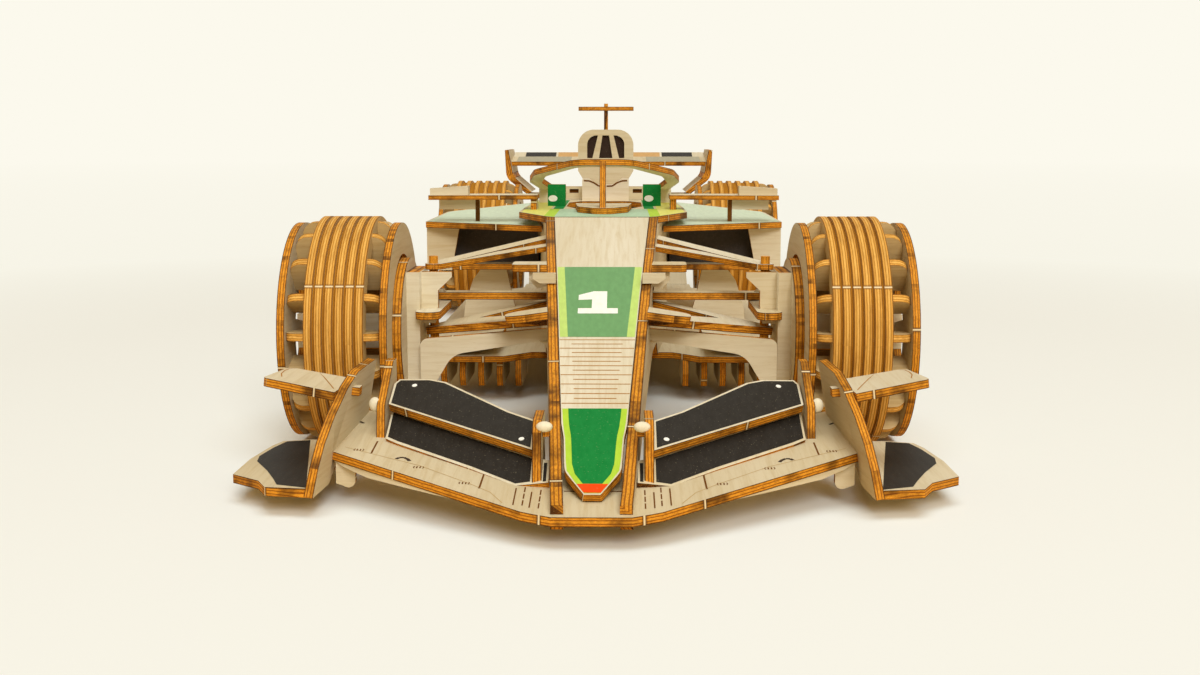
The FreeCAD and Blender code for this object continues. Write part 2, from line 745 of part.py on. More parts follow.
save("floor_fences", *both(*floor_fences))

# Floor lips: boards over the front of the floor, higher towards the tub
lip_fall = (lip_front_z - belly_z) / (lip_out_x - lip_in_x)


def lip_height(x, y):
    return lip_front_z + 1.2 - lip_fall * (x - lip_in_x)


lip_plan = fit([(0.02, 0), (1, 0.1, 4), (1, 1), (0, 1)], (lip_in_x, lip_out_x),
               (floor_front_y - 1.0, floor_front_y + lip_length))
lip = tilted(lip_plan, lip_height).cut(flat(rectangle((0, big), (-big, big)), 0, belly_z))
rib_in_x = lip_in_x + 3.0
rib_outline = [(rib_in_x, belly_z), (lip_out_x - 6.0, belly_z), (rib_in_x, lip_height(rib_in_x, 0) - ply)]
lip_rib = cross(rib_outline, floor_front_y + 12.0).cut(lip)
save("floor_lips", *both(join(largest(lip), largest(lip_rib))))

# Diffuser: inclined board with fences below
diffuser_start = floor_end_y + 0.5


def diffuser_height(x, y):
    return belly_z + diffuser_rise * (y - diffuser_start)


diffuser_end = diffuser_start + diffuser_length
diffuser = tilted(symmetric([(diffuser_half, diffuser_start), (diffuser_half, diffuser_end)]), diffuser_height)
save("diffuser", diffuser)
diffuser_fences = []
for t in (0.34, 0.66, 0.96):
    run = (diffuser_start + 0.22 * diffuser_length, diffuser_end - 2.0)
    fence_outline = [(run[0], diffuser_fence_low_z), (run[1], diffuser_fence_low_z),
                     (run[1], diffuser_height(0, run[1])), (run[0], diffuser_height(0, run[0]))]
    diffuser_fences.append(largest(upright(fence_outline, t * diffuser_half - ply / 2).cut(diffuser)))
save("diffuser_fences", *both(*diffuser_fences))
tub_side = largest(tub_side.cut(diffuser).cut(cover_form))
save("tub_sides", *both(tub_side))

# Front wing: middle panel and two outer panels that bend up and back, slotted for the nose plates
wing_tail_y = wing_front_y + wing_bow
wing_rear_y = wing_front_y + wing_chord
wing_end_y = wing_front_y + wing_sweep
bend_front_y = wing_front_y + 1.9
wing_tip_z = wing_height(wing_end_x, wing_front_y)
wing_bend_z = wing_height(wing_bend_x, wing_front_y)
wing_section = symmetric([(wing_bend_x, wing_bend_z - ply), (wing_end_x, wing_tip_z - ply),
                          (wing_end_x, wing_tip_z), (wing_bend_x, wing_bend_z)])
wing_sheet = board(wing_section, lambda u, v: V(u, wing_front_y, v), V(0, wing_chord, wing_pitch * wing_chord))
wing_plan = symmetric([(nose_half - 0.2, wing_front_y), (wing_bend_x + 2.3, bend_front_y + 1.0),
                       (lerp(wing_bend_x, wing_end_x, 0.38), lerp(bend_front_y, wing_end_y, 0.365)),
                       (wing_end_x, wing_end_y), (wing_end_x - 3.3, wing_rear_y),
                       (wing_end_x - 8.6, wing_rear_y - 3.0), (wing_bend_x, wing_tail_y)])
front_wing = wing_sheet.common(flat(wing_plan, 0, big)).cut(tub_side).cut(mirrored(tub_side))


# Endplates lean outwards and toe in
def endplate_face(y, z):
    return V(endplate_x + endplate_toe * (y - wing_front_y) + endplate_lean * z, y, z)


endplate_tail_y = front_axle_y - endplate_tail_gap
endplate_span = (endplate_tail_y - endplate_length, endplate_tail_y)
endplate_rise = (endplate_low_z, endplate_low_z + endplate_height)
endplate_outline = fit([(0, 0), (0.03, 0.255), (0.093, 0.47), (0.22, 0.68), (0.416, 0.88), (0.6, 0.983),
                        (1, 1, 1.5), (1, 0.4), (0.43, 0.255), (0.31, 0, 3)], endplate_span, endplate_rise)
endplate_out = V(1, -endplate_toe, -endplate_lean).normalize() * ply
endplate = board(endplate_outline, endplate_face, endplate_out).cut(front_wing)


# Canards outside the endplates, each with a tab through its endplate
def canard_height(x, y):
    return canard_z + canard_rise * (x - canard_in_x - ply)


canard_tail_y = front_axle_y - canard_tail_gap
canard_span = (canard_tail_y - canard_length, canard_tail_y)
canard_outline = fit([(0, 0), (1, 0.385, 1.5), (0.88, 1, 2), (0, 0.73)], (canard_in_x, canard_tip_x),
                     canard_span)
inboard_outline = fit([(-1, -1), (2, -1), (2, 2), (-1, 2)], endplate_span, endplate_rise)
inboard = board(inboard_outline, lambda y, z: endplate_face(y, z) + endplate_out, endplate_out * -10)
canard = tilted(canard_outline, canard_height).cut(inboard)
tab_y = lerp(canard_span[0], canard_span[1], 0.36)
tab_x = endplate_face(tab_y, canard_z).x
canard_tab = tilted(rectangle((tab_x - tab_reach, tab_x + 2 * ply), (tab_y, tab_y + 3.2)), canard_height)
canard = join(canard, canard_tab)
endplate = largest(endplate.cut(canard))
save("front_wing_canards", *both(canard))
save("front_wing_endplates", *both(endplate))

# Footplates outside the endplates
footplate_tail_y = front_axle_y - footplate_tail_gap
footplate_span = (footplate_tail_y - footplate_length, footplate_tail_y)
footplate_outline = fit([(0, 0), (0.52, 0.03), (0.655, 0.145), (1, 0.263), (1, 0.566), (0.92, 0.85),
                         (0.85, 0.96), (0.55, 1), (0.05, 1)], (footplate_in_x, footplate_out_x), footplate_span)
save("front_wing_footplates", *both(largest(flat(footplate_outline, endplate_low_z).cut(endplate))))


# Flaps: an upper and a lower one on each side, both falling outwards
flap_lead_y = wing_front_y + 23.0


def upper_flap_height(x, y):
    return upper_flap_z - upper_flap_fall * (x - upper_flap_in_x) + upper_flap_lift * (y - flap_lead_y)


def lower_flap_height(x, y):
    return lower_flap_z - lower_flap_fall * (x - lower_flap_in_x) + lower_flap_lift * (y - lower_lead_y)


lower_lead_y = wing_front_y + lower_flap_lead
upper_outline = fit([(0, 0), (1, 0.716), (1, 0.955), (0.97, 1), (0.755, 0.95), (0.64, 0.887), (0.18, 0.445),
                     (0, 0.305)], (upper_flap_in_x, flap_tip_x), (flap_lead_y, flap_lead_y + flap_length))
upper_flap = tilted(upper_outline, upper_flap_height)
lower_outline = fit([(0, 0.02), (0.185, 0.055), (0.454, 0.284), (0.924, 0.663), (1, 0.734), (1, 1),
                     (0.12, 0.28), (0, 0.2)], (lower_flap_in_x, flap_tip_x - 0.2),
                    (lower_lead_y, lower_lead_y + lower_flap_length))
lower_flap = tilted(lower_outline, lower_flap_height)

# Posts inside the flaps, each tied to its nose plate by a rounded spacer
under_section = symmetric([(wing_bend_x, -wing_chord), (wing_end_x, -wing_chord), (wing_end_x, wing_tip_z),
                           (wing_bend_x, wing_bend_z)])
under_wing = board(under_section, lambda u, v: V(u, wing_front_y, v), V(0, wing_chord, wing_pitch * wing_chord))
post_span = (flap_lead_y - 5.7, flap_lead_y - 5.7 + post_length)
post_outline = fit([(0, 0), (0.07, 0.88), (0.27, 1), (1, 1), (1, 0)], post_span,
                   (wing_nose_z - ply, post_top_z))
post = upright(post_outline, post_in_x).cut(under_wing)
spacer_z = post_top_z - 3.4
spacer = flat(rectangle((nose_half + 0.8, post_in_x + ply), (post_span[0] + 3.0, post_span[0] + 9.0)), spacer_z)
spacer = outermost(spacer.cut(plan_band(0, tub_half)))
post = join(post, spacer)
save("front_wing_posts", *both(post))
save("front_wing_upper_flaps", *both(outermost(upper_flap.cut(post))))
lower_flap = largest(lower_flap.cut(under_wing).cut(upper_flap).cut(post).cut(tub_side))
save("front_wing_lower_flaps", *both(lower_flap))

# Fences at the outer ends of the flaps, skirts along the wing's leading edge with a strake behind
fence_tail_y = endplate_tail_y - 0.5
fence_foot_z = wing_height(fence_x, fence_tail_y - fence_length)
fence_outline = fit([(0, 0), (0.08, 0.5), (0.79, 1), (1, 1), (1, 0)],
                    (fence_tail_y - fence_length, fence_tail_y),
                    (fence_foot_z - 1.0, fence_foot_z + fence_height))
save("front_wing_fences", *both(upright(fence_outline, fence_x).cut(under_wing)))
skirt_start = V(lerp(wing_bend_x, wing_end_x, 0.38), lerp(bend_front_y, wing_end_y, 0.365) + 0.4, 0)
skirt_end = V(wing_end_x - 0.8, wing_end_y - 0.2, 0)
skirt_run = skirt_end - skirt_start
skirt_back = V(-skirt_run.y, skirt_run.x, 0).normalize() * thin_ply


def below_wing(t, depth):
    """Point of the skirt, a fraction t of the way out and a depth below the wing."""
    foot = skirt_start + skirt_run * t
    return (t, wing_height(foot.x, foot.y) - ply - depth * skirt_depth)


skirt_outline = [below_wing(t, depth) for t, depth in ((0, -0.5), (0, 0.1), (0.35, 0.6), (0.7, 1), (0.9, 0.6),
                                                       (1, 0.1), (1, -0.5))]
skirt = board(skirt_outline, lambda t, z: skirt_start + skirt_run * t + V(0, 0, z), skirt_back)
strake_outline = fit([(0, 0, 2), (1, 0.2), (1, 1), (0, 1)], (wing_end_x - 5.4, wing_end_x - 1.1),
                     (strake_low_z, wing_height(wing_end_x, wing_end_y) - ply / 2))
strake = cross(strake_outline, wing_end_y, thin_ply)
save("front_wing_skirts", *both(join(skirt, strake).cut(wing_sheet)))
save("front_wing", front_wing)


# Front suspension
def sloping_leg(start, end, width, thickness=thin_ply):
    """Straight arm between two points, its top face sloping with it."""
    along = V(end[0] - start[0], end[1] - start[1], 0).normalize()
    side = V(-along.y, along.x, 0) * (width / 2)
    a, b = V(*start), V(*end)
    corners = [a - side, b - side, b + side, a + side]
    face = Part.Face(Part.makePolygon(corners + corners[:1]))
    return face.extrude(V(0, 0, -thickness))


outside_tub = plan_band(0, tub_half)
kingpin_hole = rod_z(kingpin_x, front_axle_y, 0, big, kingpin_r + run_clear)
eye_top_z = upper_arm_z + thin_ply
eye = rod_z(kingpin_x, front_axle_y, upper_arm_z, eye_top_z, eye_r)
eye_centre = (kingpin_x, front_axle_y, eye_top_z)
front_arm = sloping_leg(eye_centre, (tub_front_half - 3.0, tub_front_y - 16.0, eye_top_z + 2.2), arm_width)
rear_arm = sloping_leg(eye_centre, (tub_front_half - 2.0, tub_front_y + 2.0, eye_top_z + 3.4), arm_width)
end_cut = flat(rectangle((kingpin_x + eye_r, kingpin_x + 3 * eye_r), (-big, big)), 0, big)
upper_wishbone = join(eye, front_arm, rear_arm).cut(kingpin_hole).cut(outside_tub).cut(end_cut)
save("front_upper_wishbones", *both(largest(upper_wishbone)))

wishbone_half = 24.0
lower_root_x = axle_tub_half - 3.0
lower_slope = 0.16
lower_plan = [(kingpin_x + eye_r, front_axle_y - eye_r, 2), (kingpin_x + eye_r, front_axle_y + eye_r, 2),
              (lower_root_x, front_axle_y + wishbone_half), (lower_root_x, front_axle_y + wishbone_half * 0.75),
              (kingpin_x - 12.0, front_axle_y + 1.0), (lower_root_x, front_axle_y - wishbone_half * 0.6),
              (lower_root_x, front_axle_y - wishbone_half)]
lower_top_z = lower_arm_z + ply


def lower_arm_height(x, y):
    return lower_top_z + (kingpin_x - x) * lower_slope


lower_wishbone = tilted(lower_plan, lower_arm_height).cut(kingpin_hole).cut(outside_tub)
lower_wishbone = largest(lower_wishbone)
rocker_span = (lower_root_x, lower_root_x + 12.5)
rocker_plan = fit([(0, 0), (0.62, 0.1, 3), (1, 0.3, 3), (1, 0.8, 3), (0, 0.8)], rocker_span,
                  (front_axle_y - wishbone_half - 4.0, front_axle_y - wishbone_half + 10.0))
rocker = tilted(rocker_plan, lambda x, y: lower_arm_height(x, y) + ply).cut(outside_tub).cut(lower_wishbone)
save("front_lower_wishbones", *both(join(lower_wishbone, largest(rocker))))

# Axle boards stand across the car under the lower wishbones
axle_board_y = front_axle_y - 12.0
axle_span = (axle_tub_half - 4.0, kingpin_x + eye_r)
axle_outline = fit([(0, 0.84), (0.77, 0.58, 6), (0.935, 0), (1, 0), (1, 0.82, 2), (0, 1)], axle_span,
                   (belly_z + 1.0, lower_arm_z + 3.0))
save("front_axle_boards", *both(largest(cross(axle_outline, axle_board_y).cut(outside_tub))))

# Brackets on the tub: a flat shelf with an upright lug under it, and a cap board on the tub side
shelf_z = upper_arm_z - 1.0
shelf_plan = fit([(0, 0), (1, 0, 1.5), (1, 1, 1.5), (0, 1)], (axle_tub_half - 3.0, axle_tub_half + 9.5),
                 (front_axle_y + 2.0, front_axle_y + 12.0))
shelf = outermost(flat(shelf_plan, shelf_z).cut(outside_tub))
lug_outline = fit([(0, 0.3), (0.72, 0), (1, 0.5), (1, 1), (0, 1)], (axle_tub_half - 2.8, axle_tub_half + 5.0),
                  (shelf_z - 4.6, shelf_z))
lug = outermost(cross(lug_outline, front_axle_y + 4.0).cut(outside_tub))
cap_outline = fit([(0, 0), (0.7, 0), (1, 0.45), (1, 1), (0, 1)], (axle_tub_half - 2.4, axle_tub_half + 3.7),
                  (shelf_z - 2.7, shelf_z))
cap = outermost(cross(cap_outline, front_axle_y - ply / 2).cut(tub_side))
save("suspension_brackets", *both(join(shelf, lug), cap))

# Knuckles: kingpin, upright, brake drum, stub axle, steering arm and front board
kingpin = rod_z(kingpin_x, front_axle_y, lower_arm_z - 2.0, eye_top_z + 2.0, kingpin_r)
steer_pin_y = front_axle_y + steer_arm
steer_plate_z = track_rod_z - 0.3 - ply
steer_plan = fit([(0, 0, 3.1), (1, 0, 3.1), (1, 1, 3.1), (0, 1, 3.1)], (kingpin_x - 3.0, kingpin_x + 3.4),
                 (front_axle_y - steer_arm + 1.0, steer_pin_y + 3.0))
steer_plate = flat(steer_plan, steer_plate_z)
upright_outline = rectangle((front_axle_y - 9.0, front_axle_y + 9.0), (wheel_r - 14.0, upper_arm_z))
upright_board = upright(upright_outline, upright_x, drum_x - upright_x)
front_outline = fit([(0.55, 0), (1, 0), (1, 1), (0, 1), (0, 0.9), (0.46, 0.64), (0.46, 0.35)],
                    (kingpin_x - 5.4, upright_x), (lower_top_z + 1.2, upper_arm_z - 0.3))
front_board = cross(front_outline, front_axle_y - 5.0)
drum = rod_x(drum_x, drum_x + ply + 0.6, front_axle_y, wheel_r, drum_r)
stub = rod_x(upright_x, front_wheel_x + front_wheel_width, front_axle_y, wheel_r, dowel_r)
steer_pin = rod_z(kingpin_x, steer_pin_y, steer_plate_z + 0.2, track_rod_z + ply + 0.8, pin_r)
knuckle = join(kingpin, steer_plate, upright_board, front_board, drum, stub, steer_pin)
save("knuckle_left", knuckle)
save("knuckle_right", mirrored(knuckle))

rod_reach = kingpin_x + track_rod_width / 2
rod_y = (steer_pin_y - track_rod_width / 2, steer_pin_y + track_rod_width / 2)
track_rod = flat(symmetric([(rod_reach, rod_y[0], 2), (rod_reach, rod_y[1], 2)]), track_rod_z)
for side in (-1, 1):
    track_rod = track_rod.cut(rod_z(side * kingpin_x, steer_pin_y, 0, big, pin_r + rod_play))
save("track_rod", track_rod)

# Rear axle boards and wishbones
bearing_hole = rod_x(-big, big, rear_axle_y, wheel_r, dowel_r + run_clear)
box_start_y = tub_end_y + 0.5
box_end_y = box_start_y + gearbox_length
box_outline = [(box_start_y, belly_z), (box_end_y, diffuser_height(0, box_end_y)), (box_end_y, gearbox_top_z),
               (box_start_y, tub_tail_z)]
gearbox = largest(upright(box_outline, bearing_x).cut(diffuser)).cut(bearing_hole)
save("rear_axle_boards", *both(gearbox))
hanger_y = (rear_axle_y - hanger_size / 2, rear_axle_y + hanger_size / 2)
hanger = upright(rectangle(hanger_y, (wheel_r - hanger_size / 2, wheel_r + hanger_size / 2)), hanger_x)
hanger = hanger.cut(bearing_hole)
arm_z = wheel_r + 6.0
rear_arms = []
for side in (-1, 1):
    outline = [(bearing_x + ply, rear_axle_y + side * 10.0), (hanger_x + ply, rear_axle_y + side * 6.0),
               (hanger_x + ply, rear_axle_y + side * 2.0), (bearing_x + ply, rear_axle_y + side * 5.0)]
    rear_arms.append(flat(outline, arm_z))
save("rear_wishbones", *both(join(hanger, *rear_arms)))

# Rear wing
rear_front_y = wing_back_y - rear_wing_chord
tip_outline = fit([(0.86, 1), (1, 1), (0.95, 0.36, 6), (0.19, 0), (0, 0.04), (0.68, 0.4, 5)],
                  (rear_wing_half - 12.5, rear_wing_half), (rear_wing_low_z, rear_wing_top_z))
rear_endplate = cross(tip_outline, rear_front_y, rear_wing_chord)
save("rear_wing_endplates", *both(rear_endplate))
plane_half = rear_wing_half - rear_wing_gap
plane_z = rear_wing_top_z - 6.0
flap_z = rear_wing_top_z - 1.4


def between_endplates(shape):
    return largest(shape.cut(rear_endplate).cut(mirrored(rear_endplate)))


plane_y = (rear_front_y + 4.0, rear_front_y + 0.6 * rear_wing_chord)
rear_plane = tilted(symmetric([(plane_half, plane_y[0]), (plane_half, plane_y[1])]),
                    lambda x, y: plane_z + rear_plane_pitch * (y - rear_front_y))
save("rear_wing_plane", between_endplates(rear_plane))
flap_y = (plane_y[1] + 0.8, wing_back_y - 3.0)
rear_flap = tilted(symmetric([(plane_half, flap_y[0]), (plane_half, flap_y[1])]),
                   lambda x, y: flap_z + rear_flap_pitch * (y - wing_back_y + 3.0))
save("rear_wing_flap", between_endplates(rear_flap))
beam_half = rear_wing_half - 10.4
beam_y = (rear_front_y + 6.0, rear_front_y + 6.0 + beam_chord)
beam = flat(symmetric([(beam_half, beam_y[0]), (beam_half, beam_y[1])]), rear_wing_low_z - ply)
save("beam_wing", beam)
pillar_low_z = gearbox_top_z + 0.5
pillar_outline = [(beam_y[0] - 2.0, pillar_low_z), (beam_y[0] + 8.0, pillar_low_z), (beam_y[1], plane_z),
                  (beam_y[0] + 2.0, plane_z)]
pillar_board = upright(pillar_outline, -ply / 2).cut(beam).cut(rear_plane)
save("rear_wing_pillar", *pillar_board.Solids)
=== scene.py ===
import json
import math
import random

import bmesh
import bpy
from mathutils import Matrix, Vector
from mathutils.bvhtree import BVHTree

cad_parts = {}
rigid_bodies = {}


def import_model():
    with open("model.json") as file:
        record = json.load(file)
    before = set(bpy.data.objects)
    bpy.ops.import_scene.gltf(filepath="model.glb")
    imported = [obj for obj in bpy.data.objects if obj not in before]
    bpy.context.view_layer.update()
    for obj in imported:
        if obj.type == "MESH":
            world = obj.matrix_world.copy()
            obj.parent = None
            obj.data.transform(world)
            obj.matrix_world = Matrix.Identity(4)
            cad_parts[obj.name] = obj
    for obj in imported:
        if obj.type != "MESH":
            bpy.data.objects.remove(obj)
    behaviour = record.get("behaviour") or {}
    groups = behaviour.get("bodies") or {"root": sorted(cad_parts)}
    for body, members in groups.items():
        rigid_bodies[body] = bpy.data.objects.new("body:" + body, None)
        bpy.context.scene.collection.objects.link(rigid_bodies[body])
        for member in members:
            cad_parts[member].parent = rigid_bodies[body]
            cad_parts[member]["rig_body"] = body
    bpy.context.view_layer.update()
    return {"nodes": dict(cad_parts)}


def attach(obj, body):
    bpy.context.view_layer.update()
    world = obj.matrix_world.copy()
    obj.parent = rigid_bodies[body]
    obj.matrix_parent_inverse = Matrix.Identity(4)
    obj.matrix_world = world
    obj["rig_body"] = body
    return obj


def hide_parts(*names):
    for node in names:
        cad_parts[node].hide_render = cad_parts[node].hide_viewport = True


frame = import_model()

# Plywood model of an open wheel racing car: every board gets pale veneer faces, charred three-layer edges,
# its printed panels, engraved lines and the small uncut bridges that held it in its sheet.

nodes = frame["nodes"]
random.seed(7)

# Meshes are in metres, and the outlines of prints and lines in millimetres.
# ABOVE is a height over the whole car, from which its upper faces are felt for.
MM = 0.001
PLY = 2.0 * MM
THIN_PLY = 1.5 * MM
TUB_PLY = 2.6 * MM
PLY_SLACK = 0.12 * MM
WIDE_FACE = 2.9 * MM
PRINT_LIFT = 0.04 * MM
ABOVE = 0.2
DOWN = Vector((0, 0, -1))
UP = Vector((0, 0, 1))
BACKWARDS = Vector((0, 1, 0))


def tone(code):
    """Linear colour of an sRGB hex code."""
    values = []
    for i in (0, 2, 4):
        c = int(code[i:i + 2], 16) / 255.0
        values.append(c / 12.92 if c <= 0.04045 else ((c + 0.055) / 1.055) ** 2.4)
    return (values[0], values[1], values[2], 1.0)


def grey(value):
    return (value, value, value, 1.0)


# Materials
class Shader:
    """A material's node tree, with short calls for the nodes used here."""

    def __init__(self, name):
        self.material = bpy.data.materials.new(name)
        self.material.use_nodes = True
        self.tree = self.material.node_tree
        self.tree.nodes.clear()
        self.out = self.node("ShaderNodeOutputMaterial")
        self.bsdf = self.node("ShaderNodeBsdfPrincipled")
        self.link(self.bsdf.outputs[0], self.out.inputs[0])

    def link(self, a, b):
        self.tree.links.new(a, b)

    def node(self, kind, **settings):
        n = self.tree.nodes.new(kind)
        for key, value in settings.items():
            setattr(n, key, value)
        return n

    def feed(self, value, socket):
        """Links an output socket, or sets a plain value."""
        if hasattr(value, "is_linked"):
            self.link(value, socket)
        else:
            socket.default_value = value

    def attribute(self, name):
        return self.node("ShaderNodeAttribute", attribute_name=name)

    def position(self):
        return self.node("ShaderNodeNewGeometry").outputs["Position"]

    def stretched(self, source, scale):
        n = self.node("ShaderNodeVectorMath", operation="MULTIPLY")
        self.link(source, n.inputs[0])
        n.inputs[1].default_value = scale
        return n.outputs[0]

    def noise(self, vector, scale, detail=3.0, rough=0.55, distortion=0.0):
        n = self.node("ShaderNodeTexNoise")
        self.link(vector, n.inputs["Vector"])
        n.inputs["Scale"].default_value = scale
        n.inputs["Detail"].default_value = detail
        n.inputs["Roughness"].default_value = rough
        n.inputs["Distortion"].default_value = distortion
        return n.outputs["Fac"]

    def ramp(self, source, stops):
        n = self.node("ShaderNodeValToRGB")
        elements = n.color_ramp.elements
        while len(elements) < len(stops):
            elements.new(0.5)
        for element, (place, colour) in zip(elements, stops):
            element.position = place
            element.color = colour
        self.link(source, n.inputs[0])
        return n.outputs[0]

    def rise(self, source, start, end, height=1):
        """Grey that grows from 0 at start to height at end."""
        return self.ramp(source, [(start, grey(0)), (end, grey(height))])

    def band(self, source, places, height):
        """Grey of one height between two slopes, which places gives as four stops."""
        heights = (0, height, height, 0)
        return self.ramp(source, [(place, grey(value)) for place, value in zip(places, heights)])

    def mix(self, amount, a, b, kind="MIX"):
        n = self.node("ShaderNodeMix", data_type="RGBA", blend_type=kind)
        for value, socket in ((amount, n.inputs[0]), (a, n.inputs[6]), (b, n.inputs[7])):
            self.feed(value, socket)
        return n.outputs[2]

    def maths(self, operation, a, b=0.0):
        n = self.node("ShaderNodeMath", operation=operation)
        self.feed(a, n.inputs[0])
        self.feed(b, n.inputs[1])
        return n.outputs[0]

    def bump(self, height, strength, distance):
        n = self.node("ShaderNodeBump")
        n.inputs["Strength"].default_value = strength
        n.inputs["Distance"].default_value = distance
        self.link(height, n.inputs["Height"])
        self.link(n.outputs[0], self.bsdf.inputs["Normal"])

    def finish(self, colour, rough, specular):
        self.feed(colour, self.bsdf.inputs["Base Color"])
        self.bsdf.inputs["Roughness"].default_value = rough
        self.bsdf.inputs["Specular IOR Level"].default_value = specular
        return self.material


VENEER_CLOUDS = (14.0, 60.0, 60.0)
VENEER_FIGURE = (60.0, 900.0, 900.0)
VENEER_PORES = (500.0, 5200.0, 5200.0)


def veneer_material(name, pale, dark, streak):
    """Rotary-cut birch veneer: faint long streaks, short pores and slow changes of tone."""
    s = Shader(name)
    place = s.attribute("grain").outputs["Vector"]
    clouds = s.noise(s.stretched(place, VENEER_CLOUDS), 1.0, 2.0)
    figure = s.noise(s.stretched(place, VENEER_FIGURE), 1.0, 4.0, 0.6, 0.4)
    pores = s.noise(s.stretched(place, VENEER_PORES), 1.0, 2.0)
    base = s.mix(s.rise(clouds, 0.3, 0.7), tone(pale), tone(dark))
    base = s.mix(s.rise(figure, 0.45, 0.75, 0.5), base, tone(streak))
    base = s.mix(s.rise(pores, 0.62, 0.72, 0.35), base, tone(streak))
    tint = s.attribute("tint").outputs["Fac"]
    shade = s.ramp(tint, [(0.0, tone("F0E6D2")), (1.0, tone("FFFFFF"))])
    base = s.mix(0.9, base, shade, "MULTIPLY")
    s.bump(s.maths("ADD", figure, s.maths("MULTIPLY", pores, 0.6)), strength=0.25, distance=0.08 * MM)
    return s.finish(base, rough=0.62, specular=0.25)


BRIDGES_PER_METRE = 21.0
EDGE_FIBRE = (900.0, 2600.0, 2600.0)
EDGE_SPECKS = 5200.0
EDGE_SCORCH = 110.0
EDGE_WANDER = 300.0
WANDER_WIDTH = 0.09


def edge_material(name, core, skin, glue, char, blotch):
    """Laser-cut edge: two thin outer layers, dark glue lines and an amber core, scorched in places."""
    s = Shader(name)
    core, skin, glue, char = tone(core), tone(skin), tone(glue), tone(char)
    place = s.attribute("grain").outputs["Vector"]
    across = s.attribute("depth").outputs["Fac"]
    wander = s.maths("MULTIPLY", s.maths("SUBTRACT", s.noise(place, EDGE_WANDER), 0.5), WANDER_WIDTH)
    across = s.maths("ADD", across, wander)
    layers = s.ramp(across, [(0.0, char), (0.06, char), (0.13, skin), (0.26, skin), (0.31, glue),
                             (0.35, glue), (0.41, core), (0.60, core), (0.66, glue), (0.71, glue),
                             (0.76, skin), (0.87, skin), (0.94, char), (1.0, char)])
    fibre = s.noise(s.stretched(place, EDGE_FIBRE), 1.0, 4.0, 0.7)
    specks = s.noise(place, EDGE_SPECKS, 2.0, 0.6)
    scorch = s.noise(place, EDGE_SCORCH, 3.0, 0.6)
    base = s.mix(s.rise(fibre, 0.42, 0.70, 0.75), layers, glue)
    base = s.mix(s.rise(specks, 0.58, 0.72, 0.5), base, tone("E8B456"))
    base = s.mix(s.rise(scorch, 0.50, 0.68, blotch), base, char)
    run = s.node("ShaderNodeSeparateXYZ")
    s.link(place, run.inputs[0])
    beat = s.maths("FRACT", s.maths("MULTIPLY", run.outputs[0], BRIDGES_PER_METRE))
    fringe = s.band(beat, (0.0, 0.006, 0.022, 0.03), 0.8)
    bridge = s.band(beat, (0.008, 0.011, 0.017, 0.020), 1)
    base = s.mix(bridge, s.mix(fringe, base, char), tone("E9D6AC"))
    s.bump(s.maths("ADD", fibre, s.maths("MULTIPLY", across, 0.3)), strength=0.5, distance=0.12 * MM)
    return s.finish(base, rough=0.62, specular=0.12)


PRINT_GRAIN = (900.0, 120.0, 900.0)
PRINT_SPECKS = 2600.0
INK_GAIN = 1.15
INK_LIFT = 0.006


def print_material(name, code, rough=0.5, specular=0.3):
    """Ink on veneer, with the grain just showing through."""
    s = Shader(name)
    colour = tone(code)
    place = s.position()
    grain = s.noise(s.stretched(place, PRINT_GRAIN), 1.0, 4.0, 0.6)
    specks = s.noise(place, PRINT_SPECKS, 2.0)
    lighter = tuple(min(1.0, c * INK_GAIN + INK_LIFT) for c in colour[:3]) + (1.0,)
    base = s.mix(s.rise(grain, 0.35, 0.75), colour, lighter)
    base = s.mix(s.rise(specks, 0.66, 0.74, 0.2), base, tone("CDBE9C"))
    s.bump(grain, strength=0.12, distance=0.05 * MM)
    return s.finish(base, rough, specular)


VENEER = veneer_material("birch_veneer", pale="E3DAC2", dark="D8CCAE", streak="C4AE80")
# Paler copy of the veneer for the seat, whose face looks forwards and gets little light from above: painted
# light.
SEAT_LIT_VENEER = veneer_material("seat_veneer_painted_light", pale="F7F2E6", dark="F0E9D8", streak="DCCBA4")
# Warmer, deeper copy of the veneer for the tyres' ring faces and paddles, which lie mostly in shade: painted
# warm shade.
TYRE_SHADE_VENEER = veneer_material("tyre_veneer_painted_shade", pale="E0C898", dark="D4B880", streak="B28E4E")
EDGE = edge_material("charred_edge", core="E89C2A", skin="DE9226", glue="8A4C0A", char="3A1E06", blotch=0.8)
TREAD = edge_material("charred_tread", core="F4C064", skin="E6AC50", glue="AC6E1A", char="7A4810", blotch=0.4)
# Near-black brown for the wing's arches, and painted shade at the back of the airbox inlet.
CHAR_AND_SHADE = print_material("char", "2E1A0A", 0.8)
# Grey lighter than the black print, for the radiators in shade: painted light.
LIT_DARK_PRINT = print_material("dark_print_painted_light", "4A4542", 0.7, 0.1)
BLACK = print_material("black_print", "25201A", 0.6, 0.1)
GREEN = print_material("green_print", "127B35", 0.55, 0.05)
LIME = print_material("lime_print", "ADCE3C", 0.55, 0.05)
PANEL_GREEN = print_material("panel_green_print", "6A9A62", 0.5, 0.1)
PANEL_LIME = print_material("panel_lime_print", "BCD672", 0.5, 0.1)
MINT = print_material("mint_print", "C6D4B8", 0.5, 0.15)
STRAW = print_material("yellow_green_print", "DAD766")
SAGE = print_material("sage_print", "A6C4A0")
ORANGE = print_material("orange_print", "F04A12", 0.55, 0.05)
WHITE = print_material("white_print", "F7F4E8", 0.5)
PEG = print_material("pale_peg", "E2D8BC", 0.7, 0.15)
